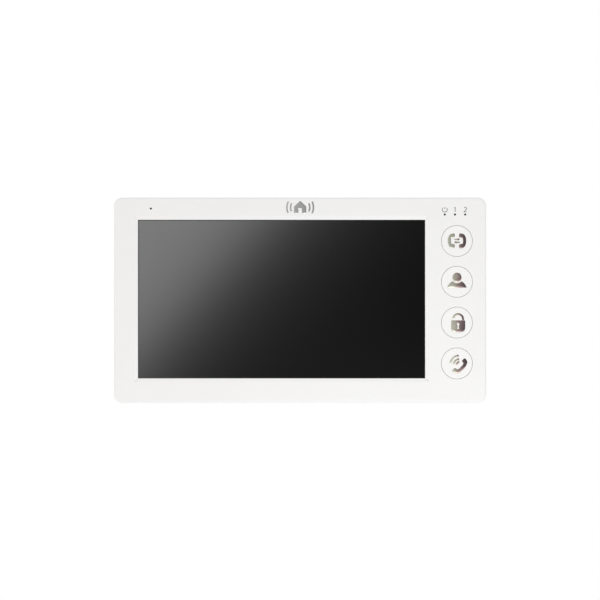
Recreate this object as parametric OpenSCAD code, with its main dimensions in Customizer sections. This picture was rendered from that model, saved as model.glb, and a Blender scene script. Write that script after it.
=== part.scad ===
// Video intercom monitor for hanging on a wall.
// Modelled lying on its back: x to the right, y up the wall, z away from the wall.
// The last lines stand it up, so that its front faces -Y and +Z points up.
// All sizes are in millimetres.

/* [Housing] */
// Width of the front cover
case_w = 202; // [200:0.5:250]
// Height of the front cover
case_h = 111.5; // [110:0.5:140]
// Distance from the wall to the front face
case_d = 22; // [22:0.5:30]
// Corner radius of the front cover
case_r = 4.5; // [4.5:0.1:6]
// Rounding of the front edge
edge_r = 1.1; // [0.5:0.1:1.5]
// Thickness of the front face
front_t = 2; // [2:0.1:2.6]
// Thickness of the front cover's side walls
wall_t = 2; // [1.6:0.1:2.2]
// Depth of the front cover's side walls
front_depth = 11; // [10:0.5:12]
// How far the rear cover stands in from the front cover's outline
rear_inset = 1.2; // [0.8:0.1:1.5]
// Thickness of the rear cover's side walls
rear_wall = 1.8; // [1.5:0.1:2]
// Thickness of the rear cover's back
rear_t = 2; // [1.6:0.1:2.4]
// Chamfer round the rear cover's back
rear_chamfer = 2; // [1:0.1:2]
// Gap between the rear cover and the wall
wall_gap = 0.8; // [0.5:0.1:1.5]
// Shadow gap between the two covers
part_gap = 0.4; // [0.2:0.1:0.6]
// Height of the lip that centres the covers on each other
lip_h = 2; // [1:0.5:3]
// Clearance between the lip and the front cover
lip_fit = 0.15; // [0.1:0.05:0.3]

/* [Screen] */
// Width of the screen opening
window_w = 155.9; // [128:0.1:156]
// Height of the screen opening
window_h = 86.1; // [78:0.1:87]
// Left border, from the outline to the screen opening
border_left = 13; // [12.9:0.05:14]
// Top border, from the outline to the screen opening
border_top = 12.05; // [12:0.05:14]
// Width of the shallow bevel round the screen opening
bevel_w = 2; // [1:0.1:3]
// Depth of the shallow bevel
bevel_d = 0.4; // [0.2:0.05:0.5]
// Thickness of the lip that the window is stuck behind
window_lip = 0.55; // [0.4:0.05:0.8]
// Thickness of the clear window
window_t = 1.4; // [1:0.1:2]
// How far the window reaches past the opening on each side
window_lap = 2.6; // [2:0.1:3]
// Clearance round the window in its seat
window_fit = 0.15; // [0.1:0.05:0.3]
// Thickness of the window's adhesive frame
tape_t = 0.15; // [0.1:0.05:0.3]
// Thickness of the foam frame between window and display
foam_t = 0.3; // [0.2:0.1:0.6]
// Width of the display module past the opening, left and right
module_side = 3.45; // [2.8:0.05:3.5]
// Height of the display module past the opening, at the top
module_top = 2.6; // [2:0.1:3]
// Height of the display module past the opening, at the bottom
module_bottom = 8; // [6:0.5:8]
// Thickness of the display module
module_t = 4.6; // [3.5:0.1:5]
// Sheet thickness of the display's metal frame
sheet_t = 0.3; // [0.2:0.1:0.5]
// Thickness of the liquid crystal cell
cell_t = 1.2; // [0.8:0.1:1.6]

/* [Keys] */
// Diameter of a key cap
key_d = 16.7; // [13:0.1:17]
// Radial gap between a key cap and its hole
key_gap = 0.15; // [0.1:0.05:0.5]
// Distance between keys
key_pitch = 22.15; // [22:0.05:25]
// Distance from the right edge to the keys' centre line
key_edge = 15.9; // [15.5:0.1:18]
// Height of the middle of the key column above the middle of the case
key_mid = -1; // [-2:0.1:2]
// Travel of a key
key_travel = 0.5; // [0.2:0.05:0.6]
// Thickness of a key's flange
flange_t = 0.95; // [0.8:0.05:1.2]
// How far a key's flange reaches past its cap
flange_lap = 0.95; // [0.6:0.05:1.1]
// Clearance between flange and guide collar
collar_fit = 0.2; // [0.1:0.05:0.4]
// Wall of a guide collar
collar_t = 1; // [0.8:0.1:1.2]
// Depth of a guide collar
collar_h = 2.6; // [2:0.1:3]
// Height of an icon above its key
icon_t = 0.12; // [0.05:0.01:0.2]
// Length of a key's stem below its flange
stem_h = 1.4; // [1:0.1:2]
// Diameter of a switch plunger
plunger_d = 3.4; // [3:0.1:4]
// Radial clearance of a plunger in its switch
plunger_fit = 0.05; // [0.03:0.01:0.1]
// Height of a switch body
switch_h = 3.5; // [3:0.1:4]

/* [Side controls] */
// Diameter of a thumbwheel
wheel_d = 14; // [12:0.5:15]
// Thickness of a thumbwheel
wheel_t = 2.4; // [2:0.1:2.6]
// How far a thumbwheel stands out of the side wall
wheel_proud = 0.8; // [0.5:0.1:1]
// Distance between thumbwheels
wheel_pitch = 18; // [17:0.5:19]
// Height of the middle thumbwheel above the middle of the case
wheel_mid = 12; // [11:0.5:13]
// Diameter of a thumbwheel's shaft
shaft_d = 3; // [2:0.1:4]
// Radial clearance of the shaft in its control
shaft_fit = 0.05; // [0.03:0.01:0.1]
// Travel of the power switch
slide_travel = 3; // [2:0.1:4]
// Height of the power switch's middle above the middle of the case
slide_mid = -22; // [-25:0.5:-21]

/* [Wall bracket] */
// Width of the wall bracket
bracket_w = 110; // [90:1:112]
// Height of the wall bracket
bracket_h = 72; // [68:1:76]
// Sheet thickness of the wall bracket
bracket_t = 1.2; // [1:0.1:1.5]
// Width of the cable opening
cable_w = 44; // [40:1:48]
// Height of the cable opening
cable_h = 34; // [30:1:40]
// Diameter of a wall screw's hole
wall_hole_d = 4.5; // [4:0.1:5]
// Spacing of the four wall holes across
hole_span_x = 84; // [80:1:88]
// Spacing of the four wall holes up and down
hole_span_y = 52; // [46:1:54]
// Spacing of the two holes for a round flush box
box_span = 60; // [58:1:62]
// Height of a hook's upward lip
hook_lip = 5; // [4:0.5:6]
// Height of a hook's stem
hook_stem = 4; // [3:0.5:5]
// Height of the hooks above and below the middle
hook_y = 22; // [20:1:24]
// Lift that frees the monitor from its hooks
lift = 6.5; // [6:0.5:7]

/* [Fasteners] */
// Diameter of a housing screw
case_screw_d = 2.6; // [2.2:0.1:2.8]
// Diameter of a board screw
board_screw_d = 2; // [1.7:0.1:2.2]
// Radial clearance modelled round a screw's thread
screw_fit = 0.05; // [0.02:0.01:0.1]
// Wall of a screw boss round its hole
boss_wall = 1.4; // [1.2:0.1:1.4]

/* [Hidden] */
$fn = 48;

white = [0.93, 0.93, 0.92];
steel = [0.72, 0.73, 0.75];
board_green = [0.1, 0.35, 0.22];
chrome = [0.62, 0.6, 0.57];
black = [0.05, 0.05, 0.06];
foam = [0.16, 0.16, 0.17];

corner_steps = 6;
eps = 0.01;
cut = 1;

// Depths, counted from the wall
under_front = case_d - front_t;
part_d = case_d - front_depth;
back_in = wall_gap + rear_t;
lip_under = case_d - bevel_d - window_lip;
window_front = lip_under - tape_t;
window_back = window_front - window_t;
module_front = window_back - foam_t;
module_back = module_front - module_t;
mask_back = 0.3;

// Places on the front, counted from the middle
screen_x = -case_w / 2 + border_left + window_w / 2;
screen_y = case_h / 2 - border_top - window_h / 2;
module_w = window_w + 2 * module_side;
module_h = window_h + module_top + module_bottom;
module_y = screen_y + (module_top - module_bottom) / 2;
key_x = case_w / 2 - key_edge;
key_count = 4;
key_ys = [for (i = [0 : key_count - 1]) key_mid + (1.5 - i) * key_pitch];
hole_r = key_d / 2 + key_gap;
flange_r = key_d / 2 + flange_lap;
collar_in = flange_r + collar_fit;
collar_out = collar_in + collar_t;

// Indicator lamps and microphone
lamp_pitch = 5.55;
lamp_top = 9.2;
lamp_left = 1.05;
lamp_hole_d = 1.15;
lamp_y = case_h / 2 - lamp_top;
lamp_xs = [for (i = [-1 : 1]) key_x - lamp_left + i * lamp_pitch];
sign_up = 2.65;
sign_t = 0.05;
mic_left = 20;
mic_top = 5.95;
mic_x = -case_w / 2 + mic_left;
mic_y = case_h / 2 - mic_top;
mic_hole_d = 1.15;
mic_r = 2.1;
mic_in = 3;
boot_t = 0.8;
boot_h = 4;

// Side walls of the two covers, counted from a corner's centre
rear_r = case_r - rear_inset;
lip_out = case_r - wall_t - lip_fit;
lip_in = rear_r - rear_wall;
rear_half_w = case_w / 2 - rear_inset;
inner_x = rear_half_w - rear_wall;

// Recess in the rear cover that takes the wall bracket
recess_side = 2;
recess_top = 1.5;
recess_floor = 4;
recess_wall = 2;
recess_w = bracket_w + 2 * recess_side;
recess_up = bracket_h / 2 + recess_top;
recess_down = bracket_h / 2 + lift + recess_top;
recess_h = recess_up + recess_down;
recess_y = (recess_up - recess_down) / 2;
recess_in = recess_floor + recess_wall;

// Hooks and their slots
hook_gap = 0.3;
hook_thick = 1.9;
slot_side = 0.5;
hook_front = recess_in + hook_gap + hook_thick;
slot_rest = 0.05;
slot_h = hook_stem + lift + slot_side;

// Circuit boards
board_t = 1.6;
board_rise = 3.4;
board_d = recess_in + board_rise;
board_front = board_d + board_t;
board_gap = 1;
board_left = -inner_x + board_gap;
board_key_gap = 6.5;
board_edge = 9.35;
board_right = key_x - board_key_gap;
board_half_h = case_h / 2 - board_edge;
supply_left = 14;
key_rest = 0.05;
cap_low = under_front - key_rest;
stem_bottom = cap_low - flange_t - stem_h;
press_spare = 0.2;
switch_top = stem_bottom - key_travel - press_spare;
plunger_in = 1.5;
plunger_low = switch_top - plunger_in;
key_board_front = switch_top - switch_h;
key_board_back = key_board_front - board_t;

// Screw bosses
case_boss_r = case_screw_d / 2 + boss_wall;
board_boss_r = board_screw_d / 2 + boss_wall;
boss_edge_x = 6.4;
boss_edge_y = 6.25;
rear_boss_h = 7.2;
head_sink = 2.5;
case_boss_x = case_w / 2 - boss_edge_x;
case_boss_y = case_h / 2 - boss_edge_y;
boss_meet = wall_gap + rear_boss_h;
key_boss_gap = 9.9;
left_boss_x = -case_boss_x;
mid_boss_x = key_x - key_boss_gap;
between_keys = [for (i = [0 : key_count - 2]) (key_ys[i] + key_ys[i + 1]) / 2];
case_posts = [for (sx = [-1, 1], sy = [-1, 1]) [sx * case_boss_x, sy * case_boss_y]];
post_below_top = 13.25;
post_above_foot = 15.75;
post_above_keys = 10.2;
post_below_keys = 11.3;
clip_off = 20;
key_post_off = 9.5;
board_posts = [
    [left_boss_x, case_h / 2 - post_below_top],
    [left_boss_x, -case_h / 2 + post_above_foot],
    [mid_boss_x, key_ys[0] + post_above_keys],
    [mid_boss_x, key_ys[3] - post_below_keys]
];
clip_posts = [
    [left_boss_x, screen_y + clip_off],
    [left_boss_x, screen_y - clip_off],
    [mid_boss_x, between_keys[0]],
    [mid_boss_x, between_keys[2]]
];
key_posts = [for (y = between_keys) [key_x + key_post_off, y]];
clip_t = 1;
clip_lap = 2.6;
clip_w = 8;
head_h = 1.5;
head_wall = 1.1;
counterbore_wall = 1.4;
thread_len = 5;

// Loudspeaker
speaker_r = 18;
speaker_left = 6.6;
speaker_up = 22.75;
speaker_x = key_x - speaker_left;
speaker_y = -case_h / 2 + speaker_up;
speaker_foam_t = 0.3;
rim_h = 1.2;
cone_r = 14;
cone_h = 2;
magnet_r = 9;
magnet_h = 2;
speaker_back = back_in + speaker_foam_t;
speaker_hold = 14.5;
speaker_holds = [for (s = [[1, 1], [-1, 1], [-1, -1]]) s * speaker_hold];
speaker_post_r = 2.2;
grille_pitch = 3.6;
grille_d = 2;
grille_rings = 3;

// Thumbwheels and power switch
wheel_r = wheel_d / 2;
wheel_x = -(rear_half_w + wheel_proud - wheel_r);
wheel_ys = [for (i = [1, 0, -1]) wheel_mid + i * wheel_pitch];
control_h = 1.8;
control_w = 9;
control_gap = 0.2;
wheel_front = board_d - control_h - control_gap;
wheel_back = wheel_front - wheel_t;
wheel_slot_side = 0.3;
shaft_len = 1.4;
knob_w = 3;
knob_d = 2;
knob_proud = 0.5;
knob_fit = 0.1;
slide_body_w = 12;
slide_body_h = 4;
slide_body_l = 5.8;
slide_rest_y = slide_mid + slide_travel / 2;
knob_low = board_d - slide_body_h / 2 - knob_d / 2;

// Connector bay
bay_w = 46;
bay_h = 15;
socket_l = 12.4;
socket_w = 5.8;
socket_h = 4.9;
socket_wall = 0.8;
socket_pitch = 14;
pin_d = 0.64;
pin_pitch = 2.5;
pin_in = 0.6;

// Badge
badge_t = 0.15;
badge_top = 5.35;
badge_y = case_h / 2 - badge_top;

// Points along an arc
function arc(cx, cy, r, a0, a1, n) =
    [for (i = [0 : n]) let (a = a0 + (a1 - a0) * i / n) [cx + r * cos(a), cy + r * sin(a)]];

// Outline of a rectangle with round corners
function round_rect(w, h, r) = concat(
    arc(w / 2 - r, h / 2 - r, r, 0, 90, corner_steps),
    arc(r - w / 2, h / 2 - r, r, 90, 180, corner_steps),
    arc(r - w / 2, r - h / 2, r, 180, 270, corner_steps),
    arc(w / 2 - r, r - h / 2, r, 270, 360, corner_steps)
);

// Outline of a piece of a ring
function ring_piece(r_out, r_in, a0, a1) =
    concat(arc(0, 0, r_out, a0, a1, 16), arc(0, 0, r_in, a1, a0, 16));

// Plate with round corners, standing on z = 0
module plate(w, h, r, t) {
    linear_extrude(t) polygon(round_rect(w, h, r));
}

// Box given by its centre in x and y and its two depths
module block(x, y, w, h, d0, d1) {
    translate([x - w / 2, y - h / 2, d0]) cube([w, h, d1 - d0]);
}

// Cylinder given by its centre and its two depths
module post(x, y, r, d0, d1) {
    translate([x, y, d0]) cylinder(r = r, h = d1 - d0);
}

// Flat frame round an opening
module frame_plate(w, h, inner_w, inner_h, d0, d1) {
    difference() {
        block(0, 0, w, h, d0, d1);
        block(0, 0, inner_w, inner_h, d0 - cut, d1 + cut);
    }
}

// Stands a lying shape up, front towards -Y
module up() {
    rotate([90, 0, 0]) children();
}

// Carries an edge profile round a rectangle with corner radius r.
// The profile's x runs outwards from the corner's centre, its y is the depth.
module carried(w, h, r) {
    for (q = [0 : 3]) {
        along = (q % 2 == 0 ? h : w) - 2 * r;
        away = (q % 2 == 0 ? w : h) / 2 - r;
        rotate([0, 0, 90 * q]) translate([away, along / 2, 0]) {
            rotate([90, 0, 0]) linear_extrude(along) children();
            rotate_extrude(angle = 90) children();
        }
    }
}

// Screw with a flat round head; its head starts at depth d and its thread points to the front
module screw(x, y, dia, d, length) {
    post(x, y, dia / 2 + head_wall, d, d + head_h);
    post(x, y, dia / 2 - screw_fit, d + head_h, d + head_h + length);
}

// Pyramid-shaped cut: w by h at the bottom, wider by grow on every side at the top
module bevel_cut(w, h, grow, d0, d1) {
    slope = grow / (d1 - d0);
    top = grow + slope * cut;
    intersection() {
        rotate([90, 0, 0]) translate([0, 0, -h]) linear_extrude(2 * h)
            polygon([[-w / 2, d0], [w / 2, d0], [w / 2 + top, d1 + cut], [-w / 2 - top, d1 + cut]]);
        rotate([90, 0, 90]) translate([0, 0, -w]) linear_extrude(2 * w)
            polygon([[-h / 2, d0], [h / 2, d0], [h / 2 + top, d1 + cut], [-h / 2 - top, d1 + cut]]);
    }
}

// Covers ------------------------------------------------------------------

module front_profile() {
    polygon(concat(
        [[0, under_front], [0, case_d]],
        [for (i = [0 : 5]) let (a = 90 - 18 * i)
            [case_r - edge_r + edge_r * cos(a), case_d - edge_r + edge_r * sin(a)]],
        [[case_r, part_d], [case_r - wall_t, part_d], [case_r - wall_t, under_front]]
    ));
}

module front_shell() {
    carried(case_w, case_h, case_r) front_profile();
    block(0, 0, case_w - 2 * case_r, case_h - 2 * case_r, under_front, case_d);
}

module front_bosses() {
    for (p = case_posts) post(p[0], p[1], case_boss_r, boss_meet, under_front + eps);
    for (p = board_posts) post(p[0], p[1], board_boss_r, board_front, under_front + eps);
    for (p = clip_posts) post(p[0], p[1], board_boss_r, module_back, under_front + eps);
    for (p = key_posts) post(p[0], p[1], board_boss_r, key_board_front, under_front + eps);
}

module front_boss_holes() {
    for (p = case_posts) post(p[0], p[1], case_screw_d / 2, boss_meet - cut, boss_meet + thread_len + 1);
    for (p = board_posts) post(p[0], p[1], board_screw_d / 2, board_front - cut, board_front + thread_len);
    for (p = clip_posts) post(p[0], p[1], board_screw_d / 2, module_back - cut, module_back + thread_len);
    for (p = key_posts)
        post(p[0], p[1], board_screw_d / 2, key_board_front - cut, key_board_front + thread_len);
}

module key_collar(y) {
    notch_w = 2.4;
    difference() {
        post(key_x, y, collar_out, under_front - collar_h, under_front + eps);
        post(key_x, y, collar_in, under_front - collar_h - cut, under_front + cut);
        block(key_x + collar_in, y, 3 * collar_t, notch_w, under_front - collar_h - cut, under_front);
    }
}

module front_cover() {
    seat_w = window_w + 2 * (window_lap + window_fit);
    seat_h = window_h + 2 * (window_lap + window_fit);
    color(white) up() difference() {
        union() {
            front_shell();
            front_bosses();
            for (y = key_ys) key_collar(y);
        }
        block(screen_x, screen_y, window_w, window_h, under_front - cut, case_d + cut);
        block(screen_x, screen_y, seat_w, seat_h, under_front - cut, lip_under);
        translate([screen_x, screen_y, 0])
            bevel_cut(window_w, window_h, bevel_w, case_d - bevel_d, case_d);
        for (y = key_ys) post(key_x, y, hole_r, under_front - cut, case_d + cut);
        for (x = lamp_xs) post(x, lamp_y, lamp_hole_d / 2, under_front - cut, case_d + cut);
        post(mic_x, mic_y, mic_hole_d / 2, under_front - cut, case_d + cut);
        front_boss_holes();
    }
}

module rear_profile() {
    polygon([
        [0, wall_gap], [rear_r - rear_chamfer, wall_gap], [rear_r, wall_gap + rear_chamfer],
        [rear_r, part_d - part_gap], [lip_out, part_d - part_gap], [lip_out, part_d + lip_h],
        [lip_in, part_d + lip_h], [lip_in, back_in + lip_in], [0, back_in]
    ]);
}

module rear_shell() {
    w = case_w - 2 * rear_inset;
    h = case_h - 2 * rear_inset;
    carried(w, h, rear_r) rear_profile();
    block(0, 0, w - 2 * rear_r, h - 2 * rear_r, wall_gap, back_in);
    block(0, recess_y, recess_w + 2 * recess_wall, recess_h + 2 * recess_wall, wall_gap, recess_in);
    for (p = case_posts)
        post(p[0], p[1], case_screw_d / 2 + boss_wall + counterbore_wall, wall_gap, boss_meet);
    for (p = speaker_holds)
        post(speaker_x + p[0], speaker_y + p[1], speaker_post_r, back_in - eps, speaker_back + rim_h);
}

module rear_screw_holes() {
    bore_r = case_screw_d / 2 + boss_wall;
    pass_fit = 0.15;
    for (p = case_posts) {
        post(p[0], p[1], bore_r, wall_gap - cut, boss_meet - head_sink);
        post(p[0], p[1], case_screw_d / 2 + pass_fit, wall_gap, boss_meet + cut);
    }
    for (p = speaker_holds)
        post(speaker_x + p[0], speaker_y + p[1], board_screw_d / 2, back_in - 1, back_in + thread_len);
}

module hook_slots() {
    for (sx = [-1, 1], sy = [-1, 1])
        block(sx * (bracket_w / 2 - bracket_t / 2), sy * hook_y + slot_rest - slot_h / 2,
            bracket_t + 2 * slot_side, slot_h, recess_floor - cut, recess_in + cut);
}

module speaker_grille() {
    translate([speaker_x, speaker_y, 0]) {
        post(0, 0, grille_d / 2, wall_gap - cut, back_in + cut);
        for (ring = [1 : grille_rings], i = [0 : 6 * ring - 1]) {
            a = i * 60 / ring;
            post(ring * grille_pitch * cos(a), ring * grille_pitch * sin(a), grille_d / 2,
                wall_gap - cut, back_in + cut);
        }
    }
}

module vents() {
    vent_w = 1.8;
    vent_h = 5;
    vent_pitch = 5;
    vent_side = 12;
    vent_above = 6.2;
    vent_y = recess_up + recess_wall + vent_above;
    for (i = [-vent_side : vent_side])
        block(i * vent_pitch, vent_y, vent_w, vent_h, wall_gap - cut, back_in + cut);
}

module side_slots() {
    chord = sqrt(wheel_r * wheel_r - pow(inner_x + wheel_x, 2));
    for (y = wheel_ys)
        block(-rear_half_w, y, 3 * rear_wall, 2 * (chord + wheel_slot_side),
            wheel_back - wheel_slot_side, wheel_front + wheel_slot_side);
    block(-rear_half_w, slide_mid, 3 * rear_wall, knob_w + slide_travel + 2 * wheel_slot_side,
        knob_low - wheel_slot_side, knob_low + knob_d + wheel_slot_side);
}

module rear_cover() {
    color(white) up() difference() {
        rear_shell();
        block(0, recess_y, recess_w, recess_h, wall_gap - cut, recess_floor);
        block(0, 0, bay_w, bay_h, recess_floor - cut, recess_in + cut);
        rear_screw_holes();
        hook_slots();
        speaker_grille();
        vents();
        side_slots();
    }
}

module case_screws() {
    color(steel) up() for (p = case_posts)
        screw(p[0], p[1], case_screw_d, boss_meet - head_sink - head_h, head_sink + thread_len);
}

module blank_label() {
    label_t = 0.15;
    label_w = 30;
    label_h = 22;
    label_x = -(recess_w / 2 + recess_wall + rear_half_w) / 2;
    color("white") up() block(label_x, -case_h / 4, label_w, label_h, wall_gap - label_t, wall_gap);
}

// Screen ------------------------------------------------------------------

module screen_window() {
    color([0.03, 0.03, 0.035]) up() block(screen_x, screen_y, window_w + 2 * window_lap,
        window_h + 2 * window_lap, window_back, window_front);
}

// Frame as large as the window, whose opening stands back from the screen opening
module window_frame(d0, d1) {
    translate([screen_x, screen_y, 0])
        frame_plate(window_w + 2 * window_lap, window_h + 2 * window_lap,
            window_w + 2 * mask_back, window_h + 2 * mask_back, d0, d1);
}

module window_tape() {
    color(black) up() window_frame(window_front, lip_under);
}

module screen_foam() {
    color(foam) up() window_frame(module_front, window_back);
}

module display_frame() {
    color(steel) up() difference() {
        block(screen_x, module_y, module_w, module_h, module_back, module_front);
        block(screen_x, module_y, module_w - 2 * sheet_t, module_h - 2 * sheet_t,
            module_back - cut, module_front - sheet_t);
        block(screen_x, screen_y, window_w + 2 * mask_back, window_h + 2 * mask_back,
            module_back, module_front + cut);
    }
}

module display_cell() {
    color(black) up() block(screen_x, module_y, module_w - 2 * sheet_t, module_h - 2 * sheet_t,
        module_front - sheet_t - cell_t, module_front - sheet_t);
}

module backlight() {
    color("white") up() block(screen_x, module_y, module_w - 2 * sheet_t, module_h - 2 * sheet_t,
        module_back, module_front - sheet_t - cell_t);
}

module display_clips() {
    left_edge = screen_x - module_w / 2;
    right_edge = screen_x + module_w / 2;
    color(steel) up() for (p = clip_posts) {
        edge = p[0] < 0 ? left_edge + clip_lap : right_edge - clip_lap;
        outer = p[0] < 0 ? p[0] - board_boss_r : p[0] + board_boss_r;
        difference() {
            block((edge + outer) / 2, p[1], abs(edge - outer), clip_w, module_back - clip_t, module_back);
            post(p[0], p[1], board_screw_d / 2 + screw_fit, module_back - 2 * clip_t, module_back + cut);
        }
    }
}

module clip_screws() {
    color(steel) up() for (p = clip_posts)
        screw(p[0], p[1], board_screw_d, module_back - clip_t - head_h, clip_t + thread_len - 1);
}

module display_ribbon() {
    ribbon_t = 0.3;
    ribbon_w = 36;
    fold_down = 28;
    end_down = 12;
    fold_y = screen_y - fold_down;
    top_y = screen_y - end_down;
    color([0.75, 0.5, 0.2]) up()
        translate([screen_x - ribbon_w / 2, 0, 0]) rotate([90, 0, 90]) linear_extrude(ribbon_w)
            polygon([
                [top_y, module_back], [fold_y, module_back], [fold_y, board_front], [top_y, board_front],
                [top_y, board_front + ribbon_t], [fold_y + ribbon_t, board_front + ribbon_t],
                [fold_y + ribbon_t, module_back - ribbon_t], [top_y, module_back - ribbon_t]
            ]);
}

// Boards ------------------------------------------------------------------

module main_board() {
    w = board_right - board_left;
    color(board_green) up() difference() {
        block((board_left + board_right) / 2, 0, w, 2 * board_half_h, board_d, board_front);
        for (p = board_posts)
            post(p[0], p[1], board_screw_d / 2 + screw_fit, board_d - cut, board_front + cut);
    }
}

module board_chips() {
    chips = [[-34, 14, 14, 14], [-10, 16, 9, 11], [14, 20, 10, 10], [38, 12, 7, 7], [-58, 24, 6, 8]];
    chip_t = 1.3;
    color(black) up() for (c = chips)
        block(screen_x + c[0], screen_y + c[1], c[2], c[3], board_front, board_front + chip_t);
}

module capacitors() {
    can_r = 4;
    can_h = 6;
    can_pitch = 12;
    can_mid = 14;
    color([0.2, 0.22, 0.3]) up() for (i = [-1 : 1])
        post(-recess_w / 2 - supply_left, can_mid + i * can_pitch, can_r, board_d - can_h, board_d);
}

module power_coil() {
    coil_w = 11;
    coil_h = 5;
    coil_y = -16;
    color([0.25, 0.2, 0.18]) up()
        block(-recess_w / 2 - supply_left, coil_y, coil_w, coil_w, board_d - coil_h, board_d);
}

module board_screws() {
    color(steel) up() for (p = board_posts)
        screw(p[0], p[1], board_screw_d, board_d - head_h, board_t + thread_len - 1);
}

// Open pin header with its mouth towards the wall
module socket(x, pins) {
    color("ivory") up() difference() {
        block(x, 0, socket_l, socket_w, board_d - socket_h, board_d);
        block(x, 0, socket_l - 2 * socket_wall, socket_w - 2 * socket_wall,
            board_d - socket_h - cut, board_d - socket_wall);
    }
    color(steel) up() for (i = [0 : pins - 1])
        post(x + (i - (pins - 1) / 2) * pin_pitch, 0, pin_d / 2,
            board_d - socket_h + pin_in, board_d - socket_wall);
}

module station_sockets() {
    for (sx = [-1, 0]) socket(sx * socket_pitch, 4);
}

module power_socket() {
    socket(socket_pitch, 2);
}

module key_board() {
    boss_gap = 0.3;
    top_edge = 9.4;
    foot_edge = 10.2;
    tab_w = 15.6;
    tab_h = 4;
    tab_left = 0.6;
    tab_up = 0.9;
    left = mid_boss_x + board_boss_r + boss_gap;
    right = inner_x - board_gap;
    top = case_h / 2 - top_edge;
    bottom = -case_h / 2 + foot_edge;
    color(board_green) up() difference() {
        union() {
            block((left + right) / 2, (top + bottom) / 2, right - left, top - bottom,
                key_board_back, key_board_front);
            block(lamp_xs[1] - tab_left, lamp_y + tab_up, tab_w, tab_h, key_board_back, key_board_front);
        }
        for (p = key_posts)
            post(p[0], p[1], board_screw_d / 2 + screw_fit, key_board_back - cut, key_board_front + cut);
    }
}

module key_ribbon() {
    ribbon_t = 0.3;
    ribbon_w = 9;
    boss_gap = 0.5;
    far = 5;
    meet = mid_boss_x + board_boss_r + boss_gap;
    color([0.75, 0.5, 0.2]) up()
        translate([0, between_keys[1] + ribbon_w / 2, 0]) rotate([90, 0, 0]) linear_extrude(ribbon_w)
            polygon([
                [meet - 2 * far, board_front], [meet + ribbon_t, board_front],
                [meet + ribbon_t, key_board_back - ribbon_t], [meet + far, key_board_back - ribbon_t],
                [meet + far, key_board_back], [meet, key_board_back],
                [meet, board_front + ribbon_t], [meet - 2 * far, board_front + ribbon_t]
            ]);
}

module switch_bodies() {
    switch_w = 6;
    spare = 0.3;
    plunger_room = plunger_low - key_travel - spare;
    color(black) up() for (y = key_ys) difference() {
        block(key_x, y, switch_w, switch_w, key_board_front, switch_top);
        post(key_x, y, plunger_d / 2 + plunger_fit, plunger_room, switch_top + cut);
    }
}

module status_lamps() {
    lamp_w = 1.6;
    lamp_h = 0.8;
    lamp_t = 0.6;
    color("ivory") up() for (x = lamp_xs)
        block(x, lamp_y, lamp_w, lamp_h, key_board_front, key_board_front + lamp_t);
}

module light_guide() {
    bar_h = 2.1;
    bar_t = 1.8;
    bar_end = 1.1;
    foot_r = 0.8;
    foot_lift = 0.8;
    pin_fit = 0.05;
    pin_sink = 0.2;
    pin_r = lamp_hole_d / 2 - pin_fit;
    foot_low = key_board_front + foot_lift;
    color([0.8, 0.85, 0.9]) up() {
        block(lamp_xs[1], lamp_y, lamp_xs[2] - lamp_xs[0] + 2 * bar_end, bar_h,
            under_front - bar_t, under_front);
        for (x = lamp_xs) {
            post(x, lamp_y, foot_r, foot_low, under_front - bar_t);
            post(x, lamp_y, pin_r, under_front, case_d - pin_sink);
        }
    }
}

module key_board_screws() {
    color(steel) up() for (p = key_posts)
        screw(p[0], p[1], board_screw_d, key_board_back - head_h, board_t + thread_len - 1);
}

// Sound -------------------------------------------------------------------

module mic_can() {
    post(mic_x, mic_y, mic_r, under_front - mic_in, under_front - boot_t);
}

module microphone() {
    color(steel) up() mic_can();
}

module mic_boot() {
    sound_r = 0.9;
    color(foam) up() difference() {
        post(mic_x, mic_y, mic_r + boot_t, under_front - boot_h, under_front);
        mic_can();
        post(mic_x, mic_y, sound_r, under_front - boot_h - cut, under_front + cut);
    }
}

module mic_lead() {
    lead_w = 1.6;
    lead_t = 0.8;
    board_lap = 4;
    reach = mic_y - board_half_h + board_lap;
    color([0.7, 0.1, 0.1]) up() {
        block(mic_x, mic_y, lead_w, lead_t, board_front + lead_t, under_front - boot_h);
        block(mic_x, mic_y - reach / 2 + lead_t / 2, lead_w, reach, board_front, board_front + lead_t);
    }
}

module speaker() {
    color([0.15, 0.15, 0.16]) up() {
        post(speaker_x, speaker_y, speaker_r, speaker_back, speaker_back + rim_h);
        post(speaker_x, speaker_y, cone_r, speaker_back + rim_h, speaker_back + rim_h + cone_h);
        post(speaker_x, speaker_y, magnet_r, speaker_back + rim_h + cone_h,
            speaker_back + rim_h + cone_h + magnet_h);
    }
}

module speaker_foam() {
    color(foam) up() difference() {
        post(speaker_x, speaker_y, speaker_r, back_in, speaker_back);
        post(speaker_x, speaker_y, cone_r, back_in - cut, speaker_back + cut);
    }
}

module speaker_screws() {
    washer_r = 3;
    washer_t = 1;
    tip_in = 0.8;
    seat = speaker_back + rim_h;
    color(steel) up() for (p = speaker_holds) {
        post(speaker_x + p[0], speaker_y + p[1], washer_r, seat, seat + washer_t);
        post(speaker_x + p[0], speaker_y + p[1], board_screw_d / 2 - screw_fit, back_in - tip_in, seat);
    }
}

module speaker_lead() {
    lead_w = 1.6;
    color([0.7, 0.1, 0.1]) up()
        block(speaker_x - (speaker_r + cone_r) / 2, speaker_y, lead_w, lead_w, speaker_back + rim_h, board_d);
}

// Side controls -----------------------------------------------------------

module wheel(y) {
    color([0.88, 0.88, 0.87]) up() {
        post(wheel_x, y, wheel_r, wheel_back, wheel_front);
        post(wheel_x, y, shaft_d / 2, wheel_front, wheel_front + shaft_len);
    }
}

module volume_wheel() { wheel(wheel_ys[0]); }
module brightness_wheel() { wheel(wheel_ys[1]); }
module colour_wheel() { wheel(wheel_ys[2]); }

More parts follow.
